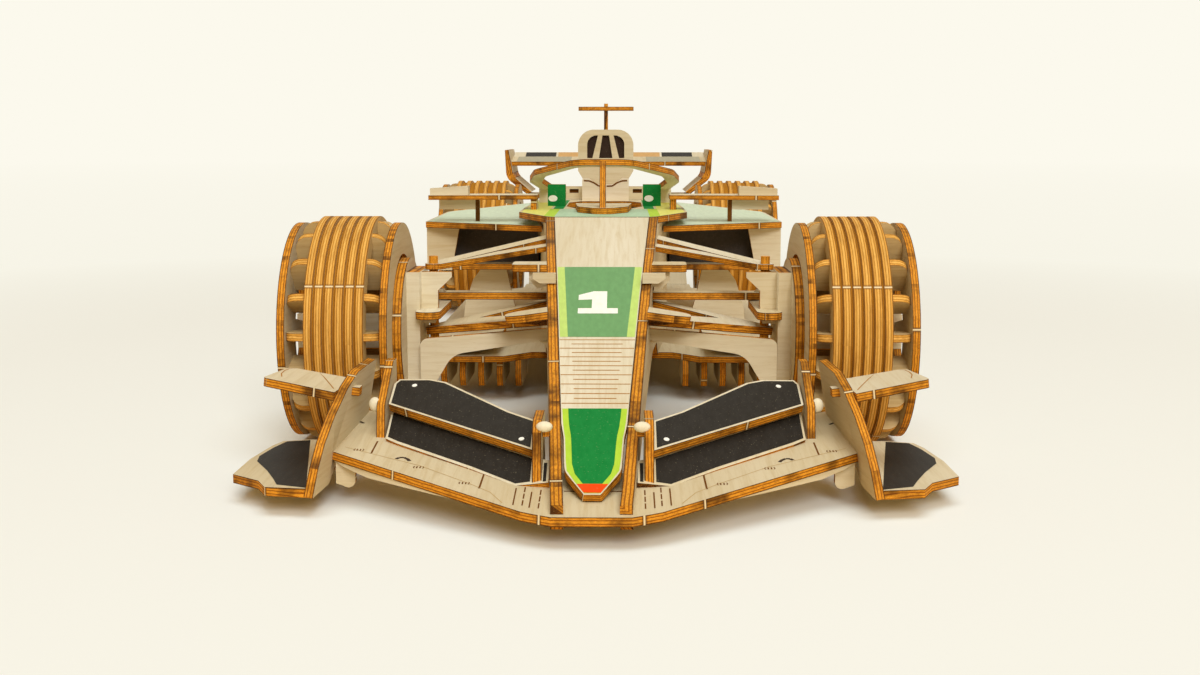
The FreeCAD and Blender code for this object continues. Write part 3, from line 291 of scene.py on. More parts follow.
# Dark brown for the wing's slits and marks and the headrest line, and painted shade on the mirror posts and
# in the shoulder slots.
UMBER = print_material("umber", "6A4014", 0.8, 0.05)
GROOVE = print_material("groove", "A8701E", 0.8, 0.05)
TAN = print_material("tan_print", "C79A5C", 0.6)
STONE = print_material("stone_print", "A39B80", 0.6)
SLIT = print_material("cut_line", "A8701F", 0.8, 0.1)
SCORED = print_material("scored_line", "B99A66", 0.8)


# Dressing the boards; the last two are cosines between the faces of one board
RAY_NUDGE = 0.002 * MM
RAY_REACH = 50.0 * MM
OPPOSITE = -0.985
SMOOTH_BEND = 0.94


def spots(face):
    """The middle of a face and places near its corners."""
    verts = [v.co for v in face.verts]
    count = len(verts)
    near_corners = [(verts[i] + verts[(i + 1) % count] + verts[(i + 2) % count]) / 3.0
                    for i in range(0, count, max(1, count // 6))]
    return [face.calc_center_median()] + near_corners


def face_behind(face, tree):
    """Index of the parallel face that lies one board's thickness behind a face, or None."""
    behind = None
    for spot in spots(face):
        front_index = tree.ray_cast(spot + face.normal * RAY_NUDGE, -face.normal, RAY_REACH)[2]
        if front_index != face.index:
            continue
        hit, normal, index, distance = tree.ray_cast(spot - face.normal * RAY_NUDGE, -face.normal, RAY_REACH)
        if hit is None or normal.dot(face.normal) > OPPOSITE:
            continue
        if any(abs(distance - thickness) < PLY_SLACK for thickness in (PLY, THIN_PLY, TUB_PLY)):
            behind = index
    return behind


def side_groups(bm):
    """Faces that have their board's other face just behind them, each with the side that it is on."""
    tree = BVHTree.FromBMesh(bm)
    partner = {}
    for f in bm.faces:
        behind = face_behind(f, tree)
        if behind is not None:
            partner[f.index] = behind
    bm.faces.ensure_lookup_table()
    side = {}
    for start in bm.faces:
        stack = [(start.index, 0)]
        while stack:
            index, group = stack.pop()
            if index in side or index not in partner:
                continue
            side[index] = group
            stack.append((partner[index], 1 - group))
            face = bm.faces[index]
            for e in face.edges:
                for g in e.link_faces:
                    if g.index != index and g.normal.dot(face.normal) > SMOOTH_BEND:
                        stack.append((g.index, group))
    return side


def grain_axes(normal):
    """Grain direction of a broad face, along the car where the board allows it."""
    along = Vector((1, 0, 0)) if abs(normal.y) > 0.7 else Vector((0, 1, 0))
    along = (along - normal * along.dot(normal)).normalized()
    return along, normal.cross(along).normalized()


def edge_axes(face, side):
    """Grain axes of a cut edge: along the cut, and through the board's layers."""
    along, across = grain_axes(face.normal)
    for e in face.edges:
        for g in e.link_faces:
            if g.index in side:
                along = face.normal.cross(g.normal).normalized()
                across = g.normal
    return along, across


def layer_depth(vert, side):
    """0 at one face of the board, 1 at the other, and 0.5 where neither meets the vertex."""
    value = 0.5
    for g in vert.link_faces:
        if g.index in side:
            value = float(side[g.index])
    return value


def clean_mesh(name):
    """A node's solids with their flat faces whole again."""
    bm = bmesh.new()
    bm.from_mesh(nodes[name].data)
    bmesh.ops.remove_doubles(bm, verts=bm.verts, dist=0.001 * MM)
    bmesh.ops.dissolve_limit(bm, angle_limit=math.radians(0.6), verts=bm.verts, edges=bm.edges)
    bm.verts.index_update()
    bm.faces.index_update()
    bm.faces.ensure_lookup_table()
    return bm


def face_islands(bm):
    """Lists of faces that hang together, one list for each solid."""
    seen = set()
    for start in bm.faces:
        if start.index in seen:
            continue
        island = []
        stack = [start]
        seen.add(start.index)
        while stack:
            f = stack.pop()
            island.append(f)
            for e in f.edges:
                for g in e.link_faces:
                    if g.index not in seen:
                        seen.add(g.index)
                        stack.append(g)
        yield island


def add_piece(name, bm, host, materials, smooth_angle=32):
    """Mesh that rides on the body of a CAD node."""
    mesh = bpy.data.meshes.new(name)
    bm.to_mesh(mesh)
    bm.free()
    for material in materials:
        mesh.materials.append(material)
    mesh.set_sharp_from_angle(angle=math.radians(smooth_angle))
    for polygon in mesh.polygons:
        polygon.use_smooth = True
    piece = bpy.data.objects.new(name, mesh)
    bpy.context.scene.collection.objects.link(piece)
    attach(piece, nodes[host]["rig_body"])
    return piece


def board_layers(bm):
    """Where each corner lies in its board: through the layers, along the grain, and the board's shade."""
    layers = bm.loops.layers
    return layers.float.new("depth"), layers.float_vector.new("grain"), layers.float.new("tint")


def random_offset():
    return Vector((random.random(), random.random(), random.random()))


VENEER_SLOT = 0
EDGE_SLOT = 1
GREEN_SLOT = 2
LIT_DARK_SLOT = 3
UMBER_SLOT = 4


def dress(name, choose=None, veneer=VENEER, bare_edges=False):
    """A copy of a CAD node with veneer and cut edges told apart, which stands for that node.
    choose(normal, centre) may name another material slot for a broad face."""
    bm = clean_mesh(name)
    side = side_groups(bm)
    depth, grain, tint = board_layers(bm)
    for island in face_islands(bm):
        offset = random_offset()
        shade = random.random()
        for f in island:
            broad = f.index in side or 2 * f.calc_area() / f.calc_perimeter() > WIDE_FACE
            f.material_index = VENEER_SLOT if broad or bare_edges else EDGE_SLOT
            if broad and choose is not None:
                f.material_index = choose(f.normal, f.calc_center_median())
            along, across = grain_axes(f.normal) if broad else edge_axes(f, side)
            for loop in f.loops:
                co = loop.vert.co
                loop[tint] = shade
                loop[grain] = Vector((co.dot(along), co.dot(across), co.dot(f.normal))) + offset
                loop[depth] = 0.5 if broad else layer_depth(loop.vert, side)
    piece = add_piece(name + "_board", bm, name, [veneer, EDGE, GREEN, LIT_DARK_PRINT, UMBER])
    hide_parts(name)


# Tyres: six cut rings side by side on crosswise paddles
RING_COUNT = 6
RING_STEPS = 96
RING_CHAMFER = 0.12 * MM
TREAD_BORE_R = 25.4 * MM
TREAD_SLACK = 0.05 * MM
CORE_STEPS = 64
CORE_INSET = 0.3 * MM
GROOVE_DEPTH = 0.9 * MM
SEAM_SHIFT = 0.3193
RING_SPREAD = 7.0
RING_TINT = 0.4
PADDLE_COUNT = 18
PADDLE_START = 3.3
PADDLE_INNER_R = 18.4 * MM
PADDLE_OUTER_R = 28.9 * MM
PADDLE_CORNER_R = 3.4 * MM
CORNER_STEPS = 5
RING_SLOTS = (0, 1, 1, 1, 0, 1)
GROOVE_SLOTS = (2, 2, 2, 2)


def lathe(bm, profile, axle, mirror, steps, slots, layers):
    """Turns (x, r, depth) points about a crosswise axle; slots gives each profile side's material."""
    depth, grain, tint = layers
    rows = []
    for k in range(steps):
        out = 2 * math.pi * k / steps
        rows.append([bm.verts.new((mirror * x, axle.y - r * math.cos(out), axle.z + r * math.sin(out)))
                     for x, r, value in profile])
    for k in range(steps):
        near, far = rows[k], rows[(k + 1) % steps]
        for i, slot in enumerate(slots):
            j = (i + 1) % len(profile)
            corners = [(near[i], k, i), (near[j], k, j), (far[j], k + 1, j), (far[i], k + 1, i)]
            if mirror < 0:
                corners.reverse()
            f = bm.faces.new([vert for vert, step, point in corners])
            f.material_index = slot
            for loop, (vert, step, point) in zip(f.loops, corners):
                x, r, value = profile[point]
                run = 2 * math.pi * r * step / steps
                loop[depth] = value
                loop[grain] = Vector((run, x, r)) + Vector((SEAM_SHIFT, x * RING_SPREAD, 0.1))
                loop[tint] = RING_TINT


def paddle(bm, x_span, angle, axle, mirror, layers):
    """Board between the side rings, its outer corners rounded."""
    depth, grain, tint = layers
    corner = PADDLE_CORNER_R
    outline = [(x_span[0], PADDLE_INNER_R), (x_span[1], PADDLE_INNER_R)]
    for centre_x, start in ((x_span[1] - corner, 0), (x_span[0] + corner, 90)):
        for i in range(CORNER_STEPS + 1):
            turn = math.radians(start + 90 / CORNER_STEPS * i)
            r = PADDLE_OUTER_R - corner + corner * math.sin(turn)
            outline.append((centre_x + corner * math.cos(turn), r))
    out = Vector((0, -math.cos(angle), math.sin(angle)))
    side = Vector((0, math.sin(angle), math.cos(angle)))
    offset = random_offset()
    shade = random.random()
    low, high = [[bm.verts.new(Vector((mirror * x, axle.y, axle.z)) + out * r + side * (half * PLY / 2))
                  for x, r in outline] for half in (-1, 1)]
    faces = [(low[::-1], 0), (high, 0)]
    for i in range(len(outline)):
        j = (i + 1) % len(outline)
        faces.append(([low[i], low[j], high[j], high[i]], 1))
    for verts, slot in faces:
        f = bm.faces.new(verts[::-1] if mirror < 0 else verts)
        f.material_index = slot
        for loop in f.loops:
            co = loop.vert.co
            loop[depth] = 0.0 if loop.vert in low else 1.0
            loop[grain] = Vector((co.x, (co - axle).dot(out), (co - axle).dot(side))) + offset
            loop[tint] = shade


def make_tyre(name):
    """A tyre's rings, the groove bottoms between them and the paddles, sized by the CAD tyre."""
    points = [v.co for v in nodes[name].data.vertices]
    mirror = 1 if points[0].x > 0 else -1
    xs = [abs(p.x) for p in points]
    ys = [p.y for p in points]
    radius = max(p.z for p in points) / 2
    axle = Vector((0, (min(ys) + max(ys)) / 2, radius))
    band = [abs(p.x) for p in points
            if abs(math.hypot(p.y - axle.y, p.z - axle.z) - radius) < TREAD_SLACK]
    band_low, band_high = min(band), max(band)
    pitch = (band_high - band_low - PLY) / (RING_COUNT - 1)
    bm = bmesh.new()
    layers = board_layers(bm)
    for i in range(RING_COUNT):
        x = band_low + i * pitch
        profile = [(x, TREAD_BORE_R, 0.0), (x, radius - RING_CHAMFER, 0.0),
                   (x + RING_CHAMFER, radius, 0.05), (x + PLY - RING_CHAMFER, radius, 0.95),
                   (x + PLY, radius - RING_CHAMFER, 1.0), (x + PLY, TREAD_BORE_R, 1.0)]
        lathe(bm, profile, axle, mirror, RING_STEPS, RING_SLOTS, layers)
    core_low, core_high, core_r = band_low + CORE_INSET, band_high - CORE_INSET, radius - GROOVE_DEPTH
    core = [(core_low, TREAD_BORE_R, 0.5), (core_low, core_r, 0.5),
            (core_high, core_r, 0.5), (core_high, TREAD_BORE_R, 0.5)]
    lathe(bm, core, axle, mirror, CORE_STEPS, GROOVE_SLOTS, layers)
    for i in range(PADDLE_COUNT):
        angle = math.radians(PADDLE_START + i * 360.0 / PADDLE_COUNT)
        paddle(bm, (min(xs), max(xs)), angle, axle, mirror, layers)
    bmesh.ops.recalc_face_normals(bm, faces=bm.faces)
    # The rings' faces and the paddles take the warmer veneer, a painted shade.
    piece = add_piece(name + "_rings", bm, name, [TYRE_SHADE_VENEER, TREAD, GROOVE])
    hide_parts(name)


FACING = 0.9
MIRROR_POST_X = 44.0 * MM
MIRROR_POST_TOP = 58.5 * MM


def guard_slot(normal, centre):
    """The head guards are printed on their front faces."""
    return GREEN_SLOT if normal.y < -FACING else VENEER_SLOT


def radiator_slot(normal, centre):
    """The radiators are printed dark all over, in a grey lighter than the black print: painted light on
    radiators that sit in shade.
    """
    return LIT_DARK_SLOT


def mirror_slot(normal, centre):
    """The mirror's post is dark brown on its faces to the front and back: painted shade."""
    post = abs(centre.x) < MIRROR_POST_X and centre.z < MIRROR_POST_TOP
    return UMBER_SLOT if post and abs(normal.y) > FACING else VENEER_SLOT


# The seat takes the paler veneer, painted light on its shaded face.
DRESS = {"head_guards": {"choose": guard_slot}, "sidepod_radiators": {"choose": radiator_slot},
         "mirror_wings": {"choose": mirror_slot}, "mirror_housings": {"bare_edges": True},
         "seat": {"veneer": SEAT_LIT_VENEER}}
for node_name in sorted(nodes):
    if "_tyre_" in node_name:
        make_tyre(node_name)
    else:
        dress(node_name, **DRESS.get(node_name, {}))


# Prints and engraved lines, laid just above the boards; one-sided outlines are for the car's left
UPWARD = 0.8
trees = {}


def surface(host):
    """Tree of a node's faces, to feel for its surface with rays."""
    if host not in trees:
        bm = bmesh.new()
        bm.from_mesh(nodes[host].data)
        trees[host] = BVHTree.FromBMesh(bm)
        bm.free()
    return trees[host]


def mirrored(points):
    return [(-x, y) for x, y in reversed(points)]


def both_sides(outlines):
    """Outlines with their mirror images."""
    return outlines + [mirrored(points) for points in outlines]


def rectangle(x_span, y_span):
    (x0, x1), (y0, y1) = x_span, y_span
    return [(x0, y0), (x1, y0), (x1, y1), (x0, y1)]


def oval(centre_x, centre_y, half_x, half_y, count=28):
    turns = [2 * math.pi * k / count for k in range(count)]
    return [(centre_x + half_x * math.cos(turn), centre_y + half_y * math.sin(turn)) for turn in turns]


def stroke(points, width):
    """Narrow quads along a line of (x, y) points."""
    quads = []
    for (x0, y0), (x1, y1) in zip(points, points[1:]):
        length = math.hypot(x1 - x0, y1 - y0)
        nx, ny = -(y1 - y0) / length * width / 2, (x1 - x0) / length * width / 2
        quads.append([(x0 + nx, y0 + ny), (x0 - nx, y0 - ny), (x1 - nx, y1 - ny), (x1 + nx, y1 + ny)])
    return quads


def dashed(start, end, width, dash, gap):
    quads = []
    length = math.hypot(end[0] - start[0], end[1] - start[1])
    done = 0.0
    while done < length:
        shares = (done / length, min(1.0, (done + dash) / length))
        ends = [tuple(start[i] + (end[i] - start[i]) * share for i in (0, 1)) for share in shares]
        quads += stroke(ends, width)
        done += dash + gap
    return quads


def inset(points, distance):
    """Outline moved inwards, for (u, v) points listed anticlockwise."""
    moved = []
    count = len(points)
    for i in range(count):
        p, q, r = points[i - 1], points[i], points[(i + 1) % count]
        a = Vector((q[0] - p[0], q[1] - p[1])).normalized()
        b = Vector((r[0] - q[0], r[1] - q[1])).normalized()
        na, nb = Vector((-a.y, a.x)), Vector((-b.y, b.x))
        middle = (na + nb).normalized()
        reach = max(0.3, middle.dot(na))
        moved.append((q[0] + middle.x * distance / reach, q[1] + middle.y * distance / reach))
    return moved


def lay(name, host, outlines, ink, level=1):
    """Thin print on the upper face of a board; outlines are (x, y), and level is the print's layer of ink."""
    bm = bmesh.new()
    for outline in outlines:
        verts = []
        for x, y in outline:
            hit, normal = surface(host).ray_cast(Vector((x * MM, y * MM, ABOVE)), DOWN)[:2]
            if hit is not None:
                verts.append(bm.verts.new(hit + normal * PRINT_LIFT * level))
        if len(verts) > 2:
            bm.faces.new(verts)
    bmesh.ops.recalc_face_normals(bm, faces=bm.faces)
    for f in bm.faces:
        if f.normal.z < 0:
            f.normal_flip()
    add_piece(name, bm, host, [ink])


def lay_front(name, host, outlines, ink, start_y):
    """Thin print on a face that looks forwards; outlines are (x, z), felt for from start_y."""
    bm = bmesh.new()
    for outline in outlines:
        verts = []
        for x, z in outline:
            hit = surface(host).ray_cast(Vector((x * MM, start_y * MM, z * MM)), BACKWARDS)[0]
            if hit is not None:
                verts.append(bm.verts.new(hit - BACKWARDS * PRINT_LIFT))
        if len(verts) > 2:
            f = bm.faces.new(verts)
            f.normal_update()
            if f.normal.y > 0:
                f.normal_flip()
    add_piece(name, bm, host, [ink])


def print_faces(name, host, ink, margin, least_area):
    """Print on the broad upper faces of a node, inside a bare margin; the area is in square millimetres."""
    source = clean_mesh(host)
    bm = bmesh.new()
    for f in source.faces:
        if f.normal.dot(UP) < UPWARD or f.calc_area() < least_area * MM * MM:
            continue
        along, across = grain_axes(f.normal)
        origin = f.verts[0].co.copy()
        flat = [((v.co - origin).dot(along), (v.co - origin).dot(across)) for v in f.verts]
        lifted = origin + f.normal * PRINT_LIFT
        bm.faces.new([bm.verts.new(lifted + along * u + across * v) for u, v in inset(flat, margin * MM)])
    source.free()
    add_piece(name, bm, host, [ink])


# Nose: upper panel with the start number, hinge slits, lower panel with the orange tip
PANEL_SPAN = (-149.0, -105.4)
TIP_END = -214.0
TIP_SEAM = -211.0
TIP_START = -183.4
NOSE_STEPS = 8
NOSE_HALF_LIMIT = 25.0
HALVINGS = 16
SLIT_COUNT = 15
SLIT_START = -150.6
SLIT_PITCH = 2.18
SLIT_WIDTH = 0.32
SLIT_MARGINS = (0.1, 3.0)


def nose_half(y):
    """Half width of the nose board at y, felt for from above."""
    low, high = 0.0, NOSE_HALF_LIMIT
    for step in range(HALVINGS):
        middle = (low + high) / 2
        if surface("nose_top").ray_cast(Vector((middle * MM, y * MM, ABOVE)), DOWN)[0] is None:
            high = middle
        else:
            low = middle
    return low


def nose_print(name, y_span, margin, ink, level):
    """Print across the nose board, a margin inside its edges."""
    right = []
    for i in range(NOSE_STEPS + 1):
        y = y_span[0] + (y_span[1] - y_span[0]) * i / NOSE_STEPS
        right.append((nose_half(y) - margin, y))
    lay(name, "nose_top", [right + mirrored(right)], ink, level)


nose_print("nose_panel_lime", PANEL_SPAN, margin=0.25, ink=PANEL_LIME, level=1)
nose_print("nose_panel_green", PANEL_SPAN, margin=2.2, ink=PANEL_GREEN, level=2)
START_NUMBER = [(-5.2, -135.6), (5.0, -135.6), (5.0, -132.4), (2.2, -132.4), (2.2, -121.8), (-1.3, -121.8),
                (-5.2, -124.2), (-5.2, -127.3), (-1.7, -127.0), (-1.7, -132.4), (-5.2, -132.4)]
lay("start_number", "nose_top", [START_NUMBER], WHITE, level=3)
slits = []
for i in range(SLIT_COUNT):
    y = SLIT_START - SLIT_PITCH * i
    half = nose_half(y) - SLIT_MARGINS[i % 2]
    slits += stroke([(-half, y), (half, y)], SLIT_WIDTH)
lay("nose_slits", "nose_top", slits, SLIT)
nose_print("tip_lime", (TIP_END, TIP_START), margin=0.3, ink=LIME, level=1)
nose_print("tip_green", (TIP_SEAM, TIP_START), margin=1.6, ink=GREEN, level=2)
nose_print("tip_orange", (TIP_END + 0.1, TIP_SEAM), margin=0.3, ink=ORANGE, level=3)

# Front wing: hinge slits at the bends, seam lines, slot marks and a thin line along the front
HINGE_SLITS = [[(15.95, -206.0), (15.95, -216.0)], [(12.6, -208.0), (12.6, -217.2)]]
HINGE_DASHES = [[(14.1, -205.3), (14.1, -220.2)], [(10.75, -206.7), (10.75, -221.4)]]
FLAP_SEAMS = [[(49.4, -178.6), (49.4, -187.4)], [(23.4, -197.5), (23.6, -207.1)]]
NOSE_SEAM = [(3.0, -207.5), (6.0, -207.5)]
SCORED_LINE = [(55.9, -183.5), (37.6, -194.3), (25.8, -204.5), (21.2, -209.0), (18.2, -215.0)]
SLOT_MARKS = [(52.5, -185.1), (37.8, -195.3), (27.0, -204.2)]
HINGE_WIDTH = 0.3
SEAM_WIDTH = 0.4
FRONT_ARCH = [(43.4, -190.4), (42.8, -189.4), (41.9, -189.2), (40.9, -190.2), (40.3, -191.4)]
BACK_ARCH = [(58.9, -168.0), (58.8, -163.2), (58.2, -160.8), (57.1, -161.6), (56.0, -164.4), (54.8, -165.6)]

wing_lines = []
for line in HINGE_SLITS:
    wing_lines += stroke(line, HINGE_WIDTH)
for start, end in HINGE_DASHES:
    wing_lines += dashed(start, end, HINGE_WIDTH, dash=3.0, gap=0.9)
for line in FLAP_SEAMS:
    wing_lines += stroke(line, SEAM_WIDTH)
wing_lines += stroke(NOSE_SEAM, 0.5)
lay("wing_slits", "front_wing", both_sides(wing_lines), UMBER)
lay("wing_scored_line", "front_wing", both_sides(stroke(SCORED_LINE, 0.2)), SCORED)


def slot_mark(x, y):
    """Two short bars between a pair of brackets."""
    strokes = []
    for side in (-1, 1):
        bend, ends, bar = x + side * 1.1, x + side * 0.9, x + side * 0.35
        strokes += stroke([(ends, y - 0.7), (bend, y), (ends, y + 0.7)], 0.22)
        strokes += stroke([(bar, y - 0.6), (bar, y + 0.6)], 0.3)
    return strokes


marks = []
for x, y in SLOT_MARKS:
    marks += slot_mark(x, y)
lay("wing_marks", "front_wing", both_sides(marks), UMBER)
lay("wing_arches", "front_wing", both_sides(stroke(FRONT_ARCH, 0.8) + stroke(BACK_ARCH, 0.7)), CHAR_AND_SHADE)

# Flaps, footplates and canards
print_faces("upper_flap_print", "front_wing_upper_flaps", BLACK, margin=0.55, least_area=60.0)
LOWER_PRINT = [(13.2, -204.2), (16.3, -203.8), (26.3, -195.2), (44.3, -180.8), (47.1, -178.3),
               (47.1, -169.6), (13.2, -197.0)]
INNER_PRINT = [(9.8, -205.2), (10.5, -205.1), (10.5, -199.2), (9.8, -199.5)]
lay("lower_flap_print", "front_wing_lower_flaps", both_sides([LOWER_PRINT, INNER_PRINT]), BLACK)
FOOT_PRINT = [(61.6, -198.2), (68.6, -195.4), (70.6, -190.2), (73.8, -182.6), (78.4, -173.4),
              (79.2, -168.0), (78.0, -158.5), (76.4, -151.9), (71.0, -150.3), (57.6, -150.3)]
lay("footplate_print", "front_wing_footplates", both_sides([FOOT_PRINT]), BLACK)
CANARD_LINE = [(71.9, -174.0), (72.9, -170.0), (73.0, -166.2), (72.6, -163.4), (71.4, -161.8), (69.6, -161.4),
               (67.3, -162.2), (65.3, -164.0), (63.0, -169.8), (60.4, -176.6), (58.4, -182.0)]
lay("canard_lines", "front_wing_canards", both_sides(stroke(CANARD_LINE, 0.25)), SLIT)

# Deck, sidepods and rear wing
DECK_FRONT = -59.6
COCKPIT_FRONT = -13.6
DECK_BACK = 50.0
SCREEN_HALF = 14.6
LIME_HALF = 17.9
DECK_SCREEN = rectangle((-SCREEN_HALF, SCREEN_HALF), (DECK_FRONT, COCKPIT_FRONT))
DECK_EDGE = rectangle((13.6, 17.0), (COCKPIT_FRONT, DECK_BACK))
DECK_LIME = [(SCREEN_HALF, DECK_FRONT), (16.6, DECK_FRONT), (LIME_HALF, -55.0), (LIME_HALF, COCKPIT_FRONT),
             (SCREEN_HALF, COCKPIT_FRONT)]
DECK_YELLOW = [(LIME_HALF, -54.6), (26.4, -33.2), (26.4, 0.0), (25.0, DECK_BACK), (LIME_HALF, DECK_BACK)]
FLAP_SPAN = (209.0, 218.9)
PLANE_SPAN = (190.8, 207.2)
lay("deck_green", "cockpit_deck", [DECK_SCREEN], SAGE)
lay("deck_side_green", "cockpit_deck", both_sides([DECK_EDGE]), GREEN)
lay("deck_lime", "cockpit_deck", both_sides([DECK_LIME]), LIME)
lay("deck_yellow", "cockpit_deck", both_sides([DECK_YELLOW]), STRAW)
print_faces("pod_print", "sidepod_tops", MINT, margin=0.8, least_area=500.0)
lay("rear_flap_black", "rear_wing_flap", both_sides([rectangle((26.0, 41.0), FLAP_SPAN)]), BLACK)
lay("rear_flap_brown", "rear_wing_flap", both_sides([rectangle((10.0, 25.0), FLAP_SPAN)]), TAN)
lay("rear_plane_grey", "rear_wing_plane", both_sides([rectangle((18.0, 44.0), PLANE_SPAN)]), STONE)


# Rivets, dowel ends, and the fronts of the head guards, the headrest and the roll hoop, with painted shade in
# the roll hoop's openings
BUTTON_SMOOTH = 50
RIVETS = [(42.7, -165.3), (15.6, -194.5)]


def rivets(name, host, places, radius=0.65, height=0.22, steps=20):
    """Small white buttons on the upper face of a board."""
    bm = bmesh.new()
    for x, y in places:
        hit, normal = surface(host).ray_cast(Vector((x * MM, y * MM, ABOVE)), DOWN)[:2]
        tilt = UP.rotation_difference(normal).to_matrix()
        rings = []
        for r, h in ((radius, 0.0), (radius * 0.9, height * 0.8), (radius * 0.5, height)):
            circle = [(r * math.cos(2 * math.pi * k / steps), r * math.sin(2 * math.pi * k / steps))
                      for k in range(steps)]
            rings.append([bm.verts.new(hit + tilt @ Vector((u * MM, v * MM, h * MM))) for u, v in circle])
        for a, b in zip(rings, rings[1:]):
            for k in range(steps):
                bm.faces.new((a[k], a[(k + 1) % steps], b[(k + 1) % steps], b[k]))
        bm.faces.new(rings[-1])
    add_piece(name, bm, host, [WHITE], BUTTON_SMOOTH)


def dowel_ends(name, host, place, radii):
    """Rounded white dowel ends on both sides, given by their centre and radii along the three axes."""
    bm = bmesh.new()
    for side in (-1, 1):
        made = bmesh.ops.create_uvsphere(bm, u_segments=20, v_segments=12, radius=MM)
        for v in made["verts"]:
            v.co = Vector([v.co[i] * radii[i] + place[i] * MM for i in range(3)])
            v.co.x *= side
    bmesh.ops.recalc_face_normals(bm, faces=bm.faces)
    add_piece(name, bm, host, [PEG], BUTTON_SMOOTH)


rivets("flap_rivets", "front_wing_upper_flaps", RIVETS + [(-x, y) for x, y in RIVETS])
dowel_ends("post_dowel_ends", "front_wing_posts", (10.2, -203.0, 21.0), (1.75, 1.1, 1.15))
dowel_ends("fence_dowel_ends", "front_wing_fences", (50.9, -172.4, 19.8), (1.4, 1.2, 1.7))
dowel_ends("nose_dowel_ends", "tub_sides", (14.2, -128.0, 28.2), (1.3, 0.5, 0.5))

BADGES = [oval(-18.0, 59.2, 1.6, 1.1), oval(15.6, 59.2, 1.6, 1.1)]
lay_front("guard_badges", "head_guards", BADGES, WHITE, start_y=-20.0)
HEADREST = [(0.4, 62.0), (2.6, 62.1), (4.4, 63.3), (6.2, 64.0), (8.2, 64.1)]
lay_front("headrest_line", "seat", both_sides(stroke(HEADREST, 0.6)), UMBER, start_y=44.5)

INLET_HALF = [(7.1, 72.4), (7.1, 78.4), (6.1, 80.2), (4.2, 81.0)]
SHOULDER_SLOT_START = 9.8
SHOULDER_SLOT = rectangle((SHOULDER_SLOT_START, 14.1), (58.9, 60.8))
HOOP_BACK_INSET = 0.4 * MM
HOOP_BACK_THICKNESS = 0.3 * MM


def hoop_painted_shade():
    """Dark panels at the back of the airbox inlet and of the two shoulder slots: painted shade in these
    openings.
    """
    bm = bmesh.new()
    back = max(v.co.y for v in nodes["roll_hoop"].data.vertices) - HOOP_BACK_INSET
    for outline in [INLET_HALF + mirrored(INLET_HALF), *both_sides([SHOULDER_SLOT])]:
        f = bm.faces.new([bm.verts.new((x * MM, back, z * MM)) for x, z in outline])
        f.normal_update()
        bmesh.ops.solidify(bm, geom=[f], thickness=HOOP_BACK_THICKNESS)
    bmesh.ops.recalc_face_normals(bm, faces=bm.faces)
    for f in bm.faces:
        # Near-black in the inlet and dark brown in the shoulder slots, both painted shade.
        f.material_index = 1 if abs(f.calc_center_median().x) > SHOULDER_SLOT_START * MM else 0
    add_piece("hoop_painted_shade", bm, "roll_hoop", [CHAR_AND_SHADE, UMBER])


hoop_painted_shade()


# Stage, light and camera
FLOOR_HALF = 8
GLOW_REACH = 4.0
PAPER_END = 0.055
GLOW_START = 0.13


def make_stage():
    """Pale paper that turns into the lit background away from the car."""
    bm = bmesh.new()
    span = (-FLOOR_HALF, FLOOR_HALF)
    bm.faces.new([bm.verts.new((x, y, 0)) for x, y in rectangle(span, span)])
    mesh = bpy.data.meshes.new("studio_floor")
    bm.to_mesh(mesh)
    bm.free()
    s = Shader("studio_paper")
    seen = s.node("ShaderNodeLightPath").outputs["Is Camera Ray"]
    s.finish(s.mix(seen, tone("F2DDB0"), tone("F2F5F2")), rough=0.9, specular=0.05)
    length = s.node("ShaderNodeVectorMath", operation="LENGTH")
    s.link(s.position(), length.inputs[0])
    away = s.maths("MULTIPLY", length.outputs["Value"], 1 / GLOW_REACH)
    glow = s.node("ShaderNodeEmission")
    glow_tones = [(0.0, tone("F6F3E5")), (0.2, tone("F8F5E8")), (1.0, tone("FCF9ED"))]
    s.link(s.ramp(away, glow_tones), glow.inputs[0])
    blend = s.node("ShaderNodeMixShader")
    s.link(s.rise(away, PAPER_END, GLOW_START), blend.inputs[0])
    s.link(s.bsdf.outputs[0], blend.inputs[1])
    s.link(glow.outputs[0], blend.inputs[2])
    s.link(blend.outputs[0], s.out.inputs[0])
    mesh.materials.append(s.material)
    floor = bpy.data.objects.new("studio_floor", mesh)
    bpy.context.scene.collection.objects.link(floor)


def lamp(name, kind, energy, colour):
    data = bpy.data.lights.new(name, kind)
    data.energy = energy
    data.color = colour
    made = bpy.data.objects.new(name, data)
    bpy.context.scene.collection.objects.link(made)
    return made


def area_light(name, place, target, size, energy, colour):
    """Round lamp that looks at a target."""
    made = lamp(name, "AREA", energy, colour)
    made.data.shape = "DISK"
    made.data.size = size
    made.location = place
    made.rotation_euler = (Vector(target) - Vector(place)).to_track_quat("-Z", "Y").to_euler()


def soft_sun(name, lean, spread, energy, colour):
    """Wide even light from above; lean is its tilt about x and y, spread its width, both in degrees."""
    made = lamp(name, "SUN", energy, colour)
    made.data.angle = math.radians(spread)
    made.location = (0, 0, 1)
    made.rotation_euler = (math.radians(lean[0]), math.radians(lean[1]), 0)


FILL_STRENGTH = 0.36


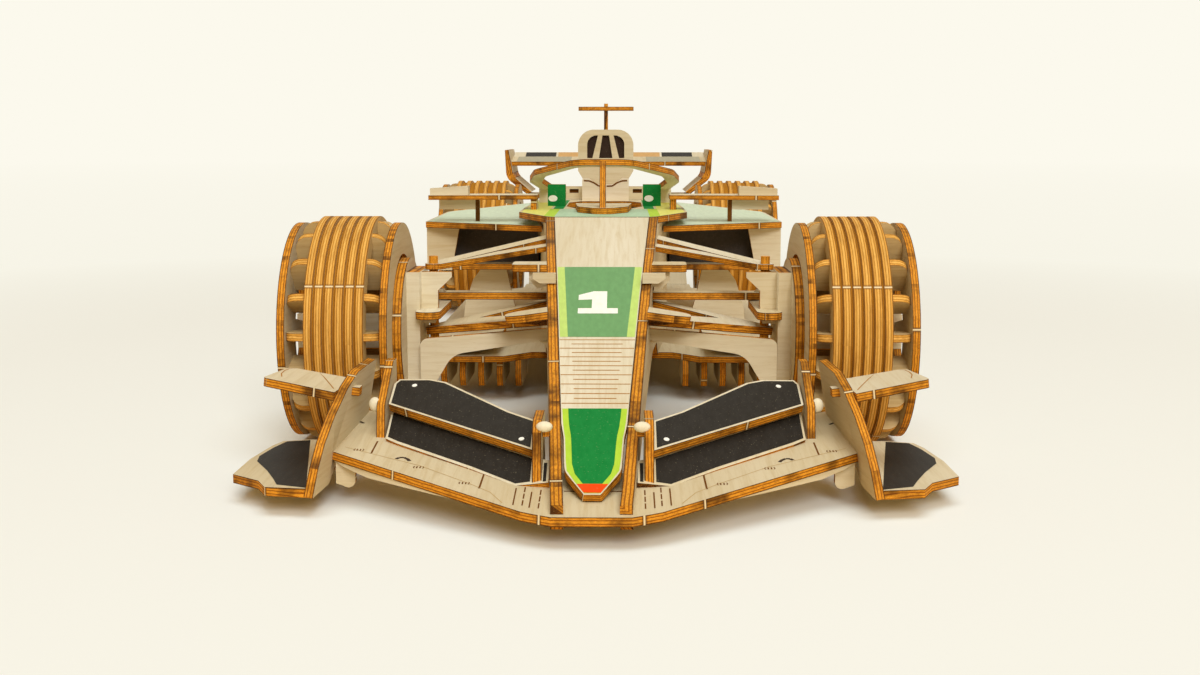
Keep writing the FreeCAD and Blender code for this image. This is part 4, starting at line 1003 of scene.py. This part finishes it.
def make_world():
    """Warm fill light for the car, and the pale background where the view, metal or glass look past it."""
    world = bpy.data.worlds.new("studio_world")
    bpy.context.scene.world = world
    world.use_nodes = True
    made = world.node_tree.nodes
    link = world.node_tree.links.new
    made.clear()
    out = made.new("ShaderNodeOutputWorld")
    light = made.new("ShaderNodeBackground")
    light.inputs[0].default_value = tone("FFD08C")
    light.inputs[1].default_value = FILL_STRENGTH
    seen = made.new("ShaderNodeBackground")
    seen.inputs[0].default_value = tone("FCF9ED")
    seen.inputs[1].default_value = 1.0
    path = made.new("ShaderNodeLightPath")
    through = made.new("ShaderNodeMath")
    through.operation = "MAXIMUM"
    link(path.outputs["Is Glossy Ray"], through.inputs[0])
    link(path.outputs["Is Transmission Ray"], through.inputs[1])
    any_of_them = made.new("ShaderNodeMath")
    any_of_them.operation = "MAXIMUM"
    link(path.outputs["Is Camera Ray"], any_of_them.inputs[0])
    link(through.outputs[0], any_of_them.inputs[1])
    choose = made.new("ShaderNodeMixShader")
    link(any_of_them.outputs[0], choose.inputs[0])
    link(light.outputs[0], choose.inputs[1])
    link(seen.outputs[0], choose.inputs[2])
    link(choose.outputs[0], out.inputs[0])


CAMERA_PLACE = (0.0055, -0.4943, 0.0815)
CAMERA_PITCH = 0.142
CAMERA_YAW = -0.014
FOCAL_PX = 1422.7
IMAGE_WIDTH_PX = 1200.0
SENSOR_WIDTH = 36.0


def make_camera():
    data = bpy.data.cameras.new("camera")
    camera = bpy.data.objects.new("camera", data)
    bpy.context.scene.collection.objects.link(camera)
    data.sensor_width = SENSOR_WIDTH
    data.lens = FOCAL_PX / IMAGE_WIDTH_PX * SENSOR_WIDTH
    data.clip_start = 0.01
    camera.location = CAMERA_PLACE
    level = math.cos(CAMERA_PITCH)
    forward = Vector((math.sin(CAMERA_YAW) * level, math.cos(CAMERA_YAW) * level, -math.sin(CAMERA_PITCH)))
    camera.rotation_euler = forward.to_track_quat("-Z", "Y").to_euler()
    bpy.context.scene.camera = camera


make_stage()
make_world()
soft_sun("overhead", lean=(12, 4), spread=50, energy=1.56, colour=(0.82, 0.94, 1.0))
area_light("front_fill", place=(0.5, -2.6, 1.5), target=(0, -0.1, 0.03), size=1.3, energy=50.0,
           colour=(0.96, 0.97, 0.96))
make_camera()
bpy.context.scene.view_settings.view_transform = "Standard"
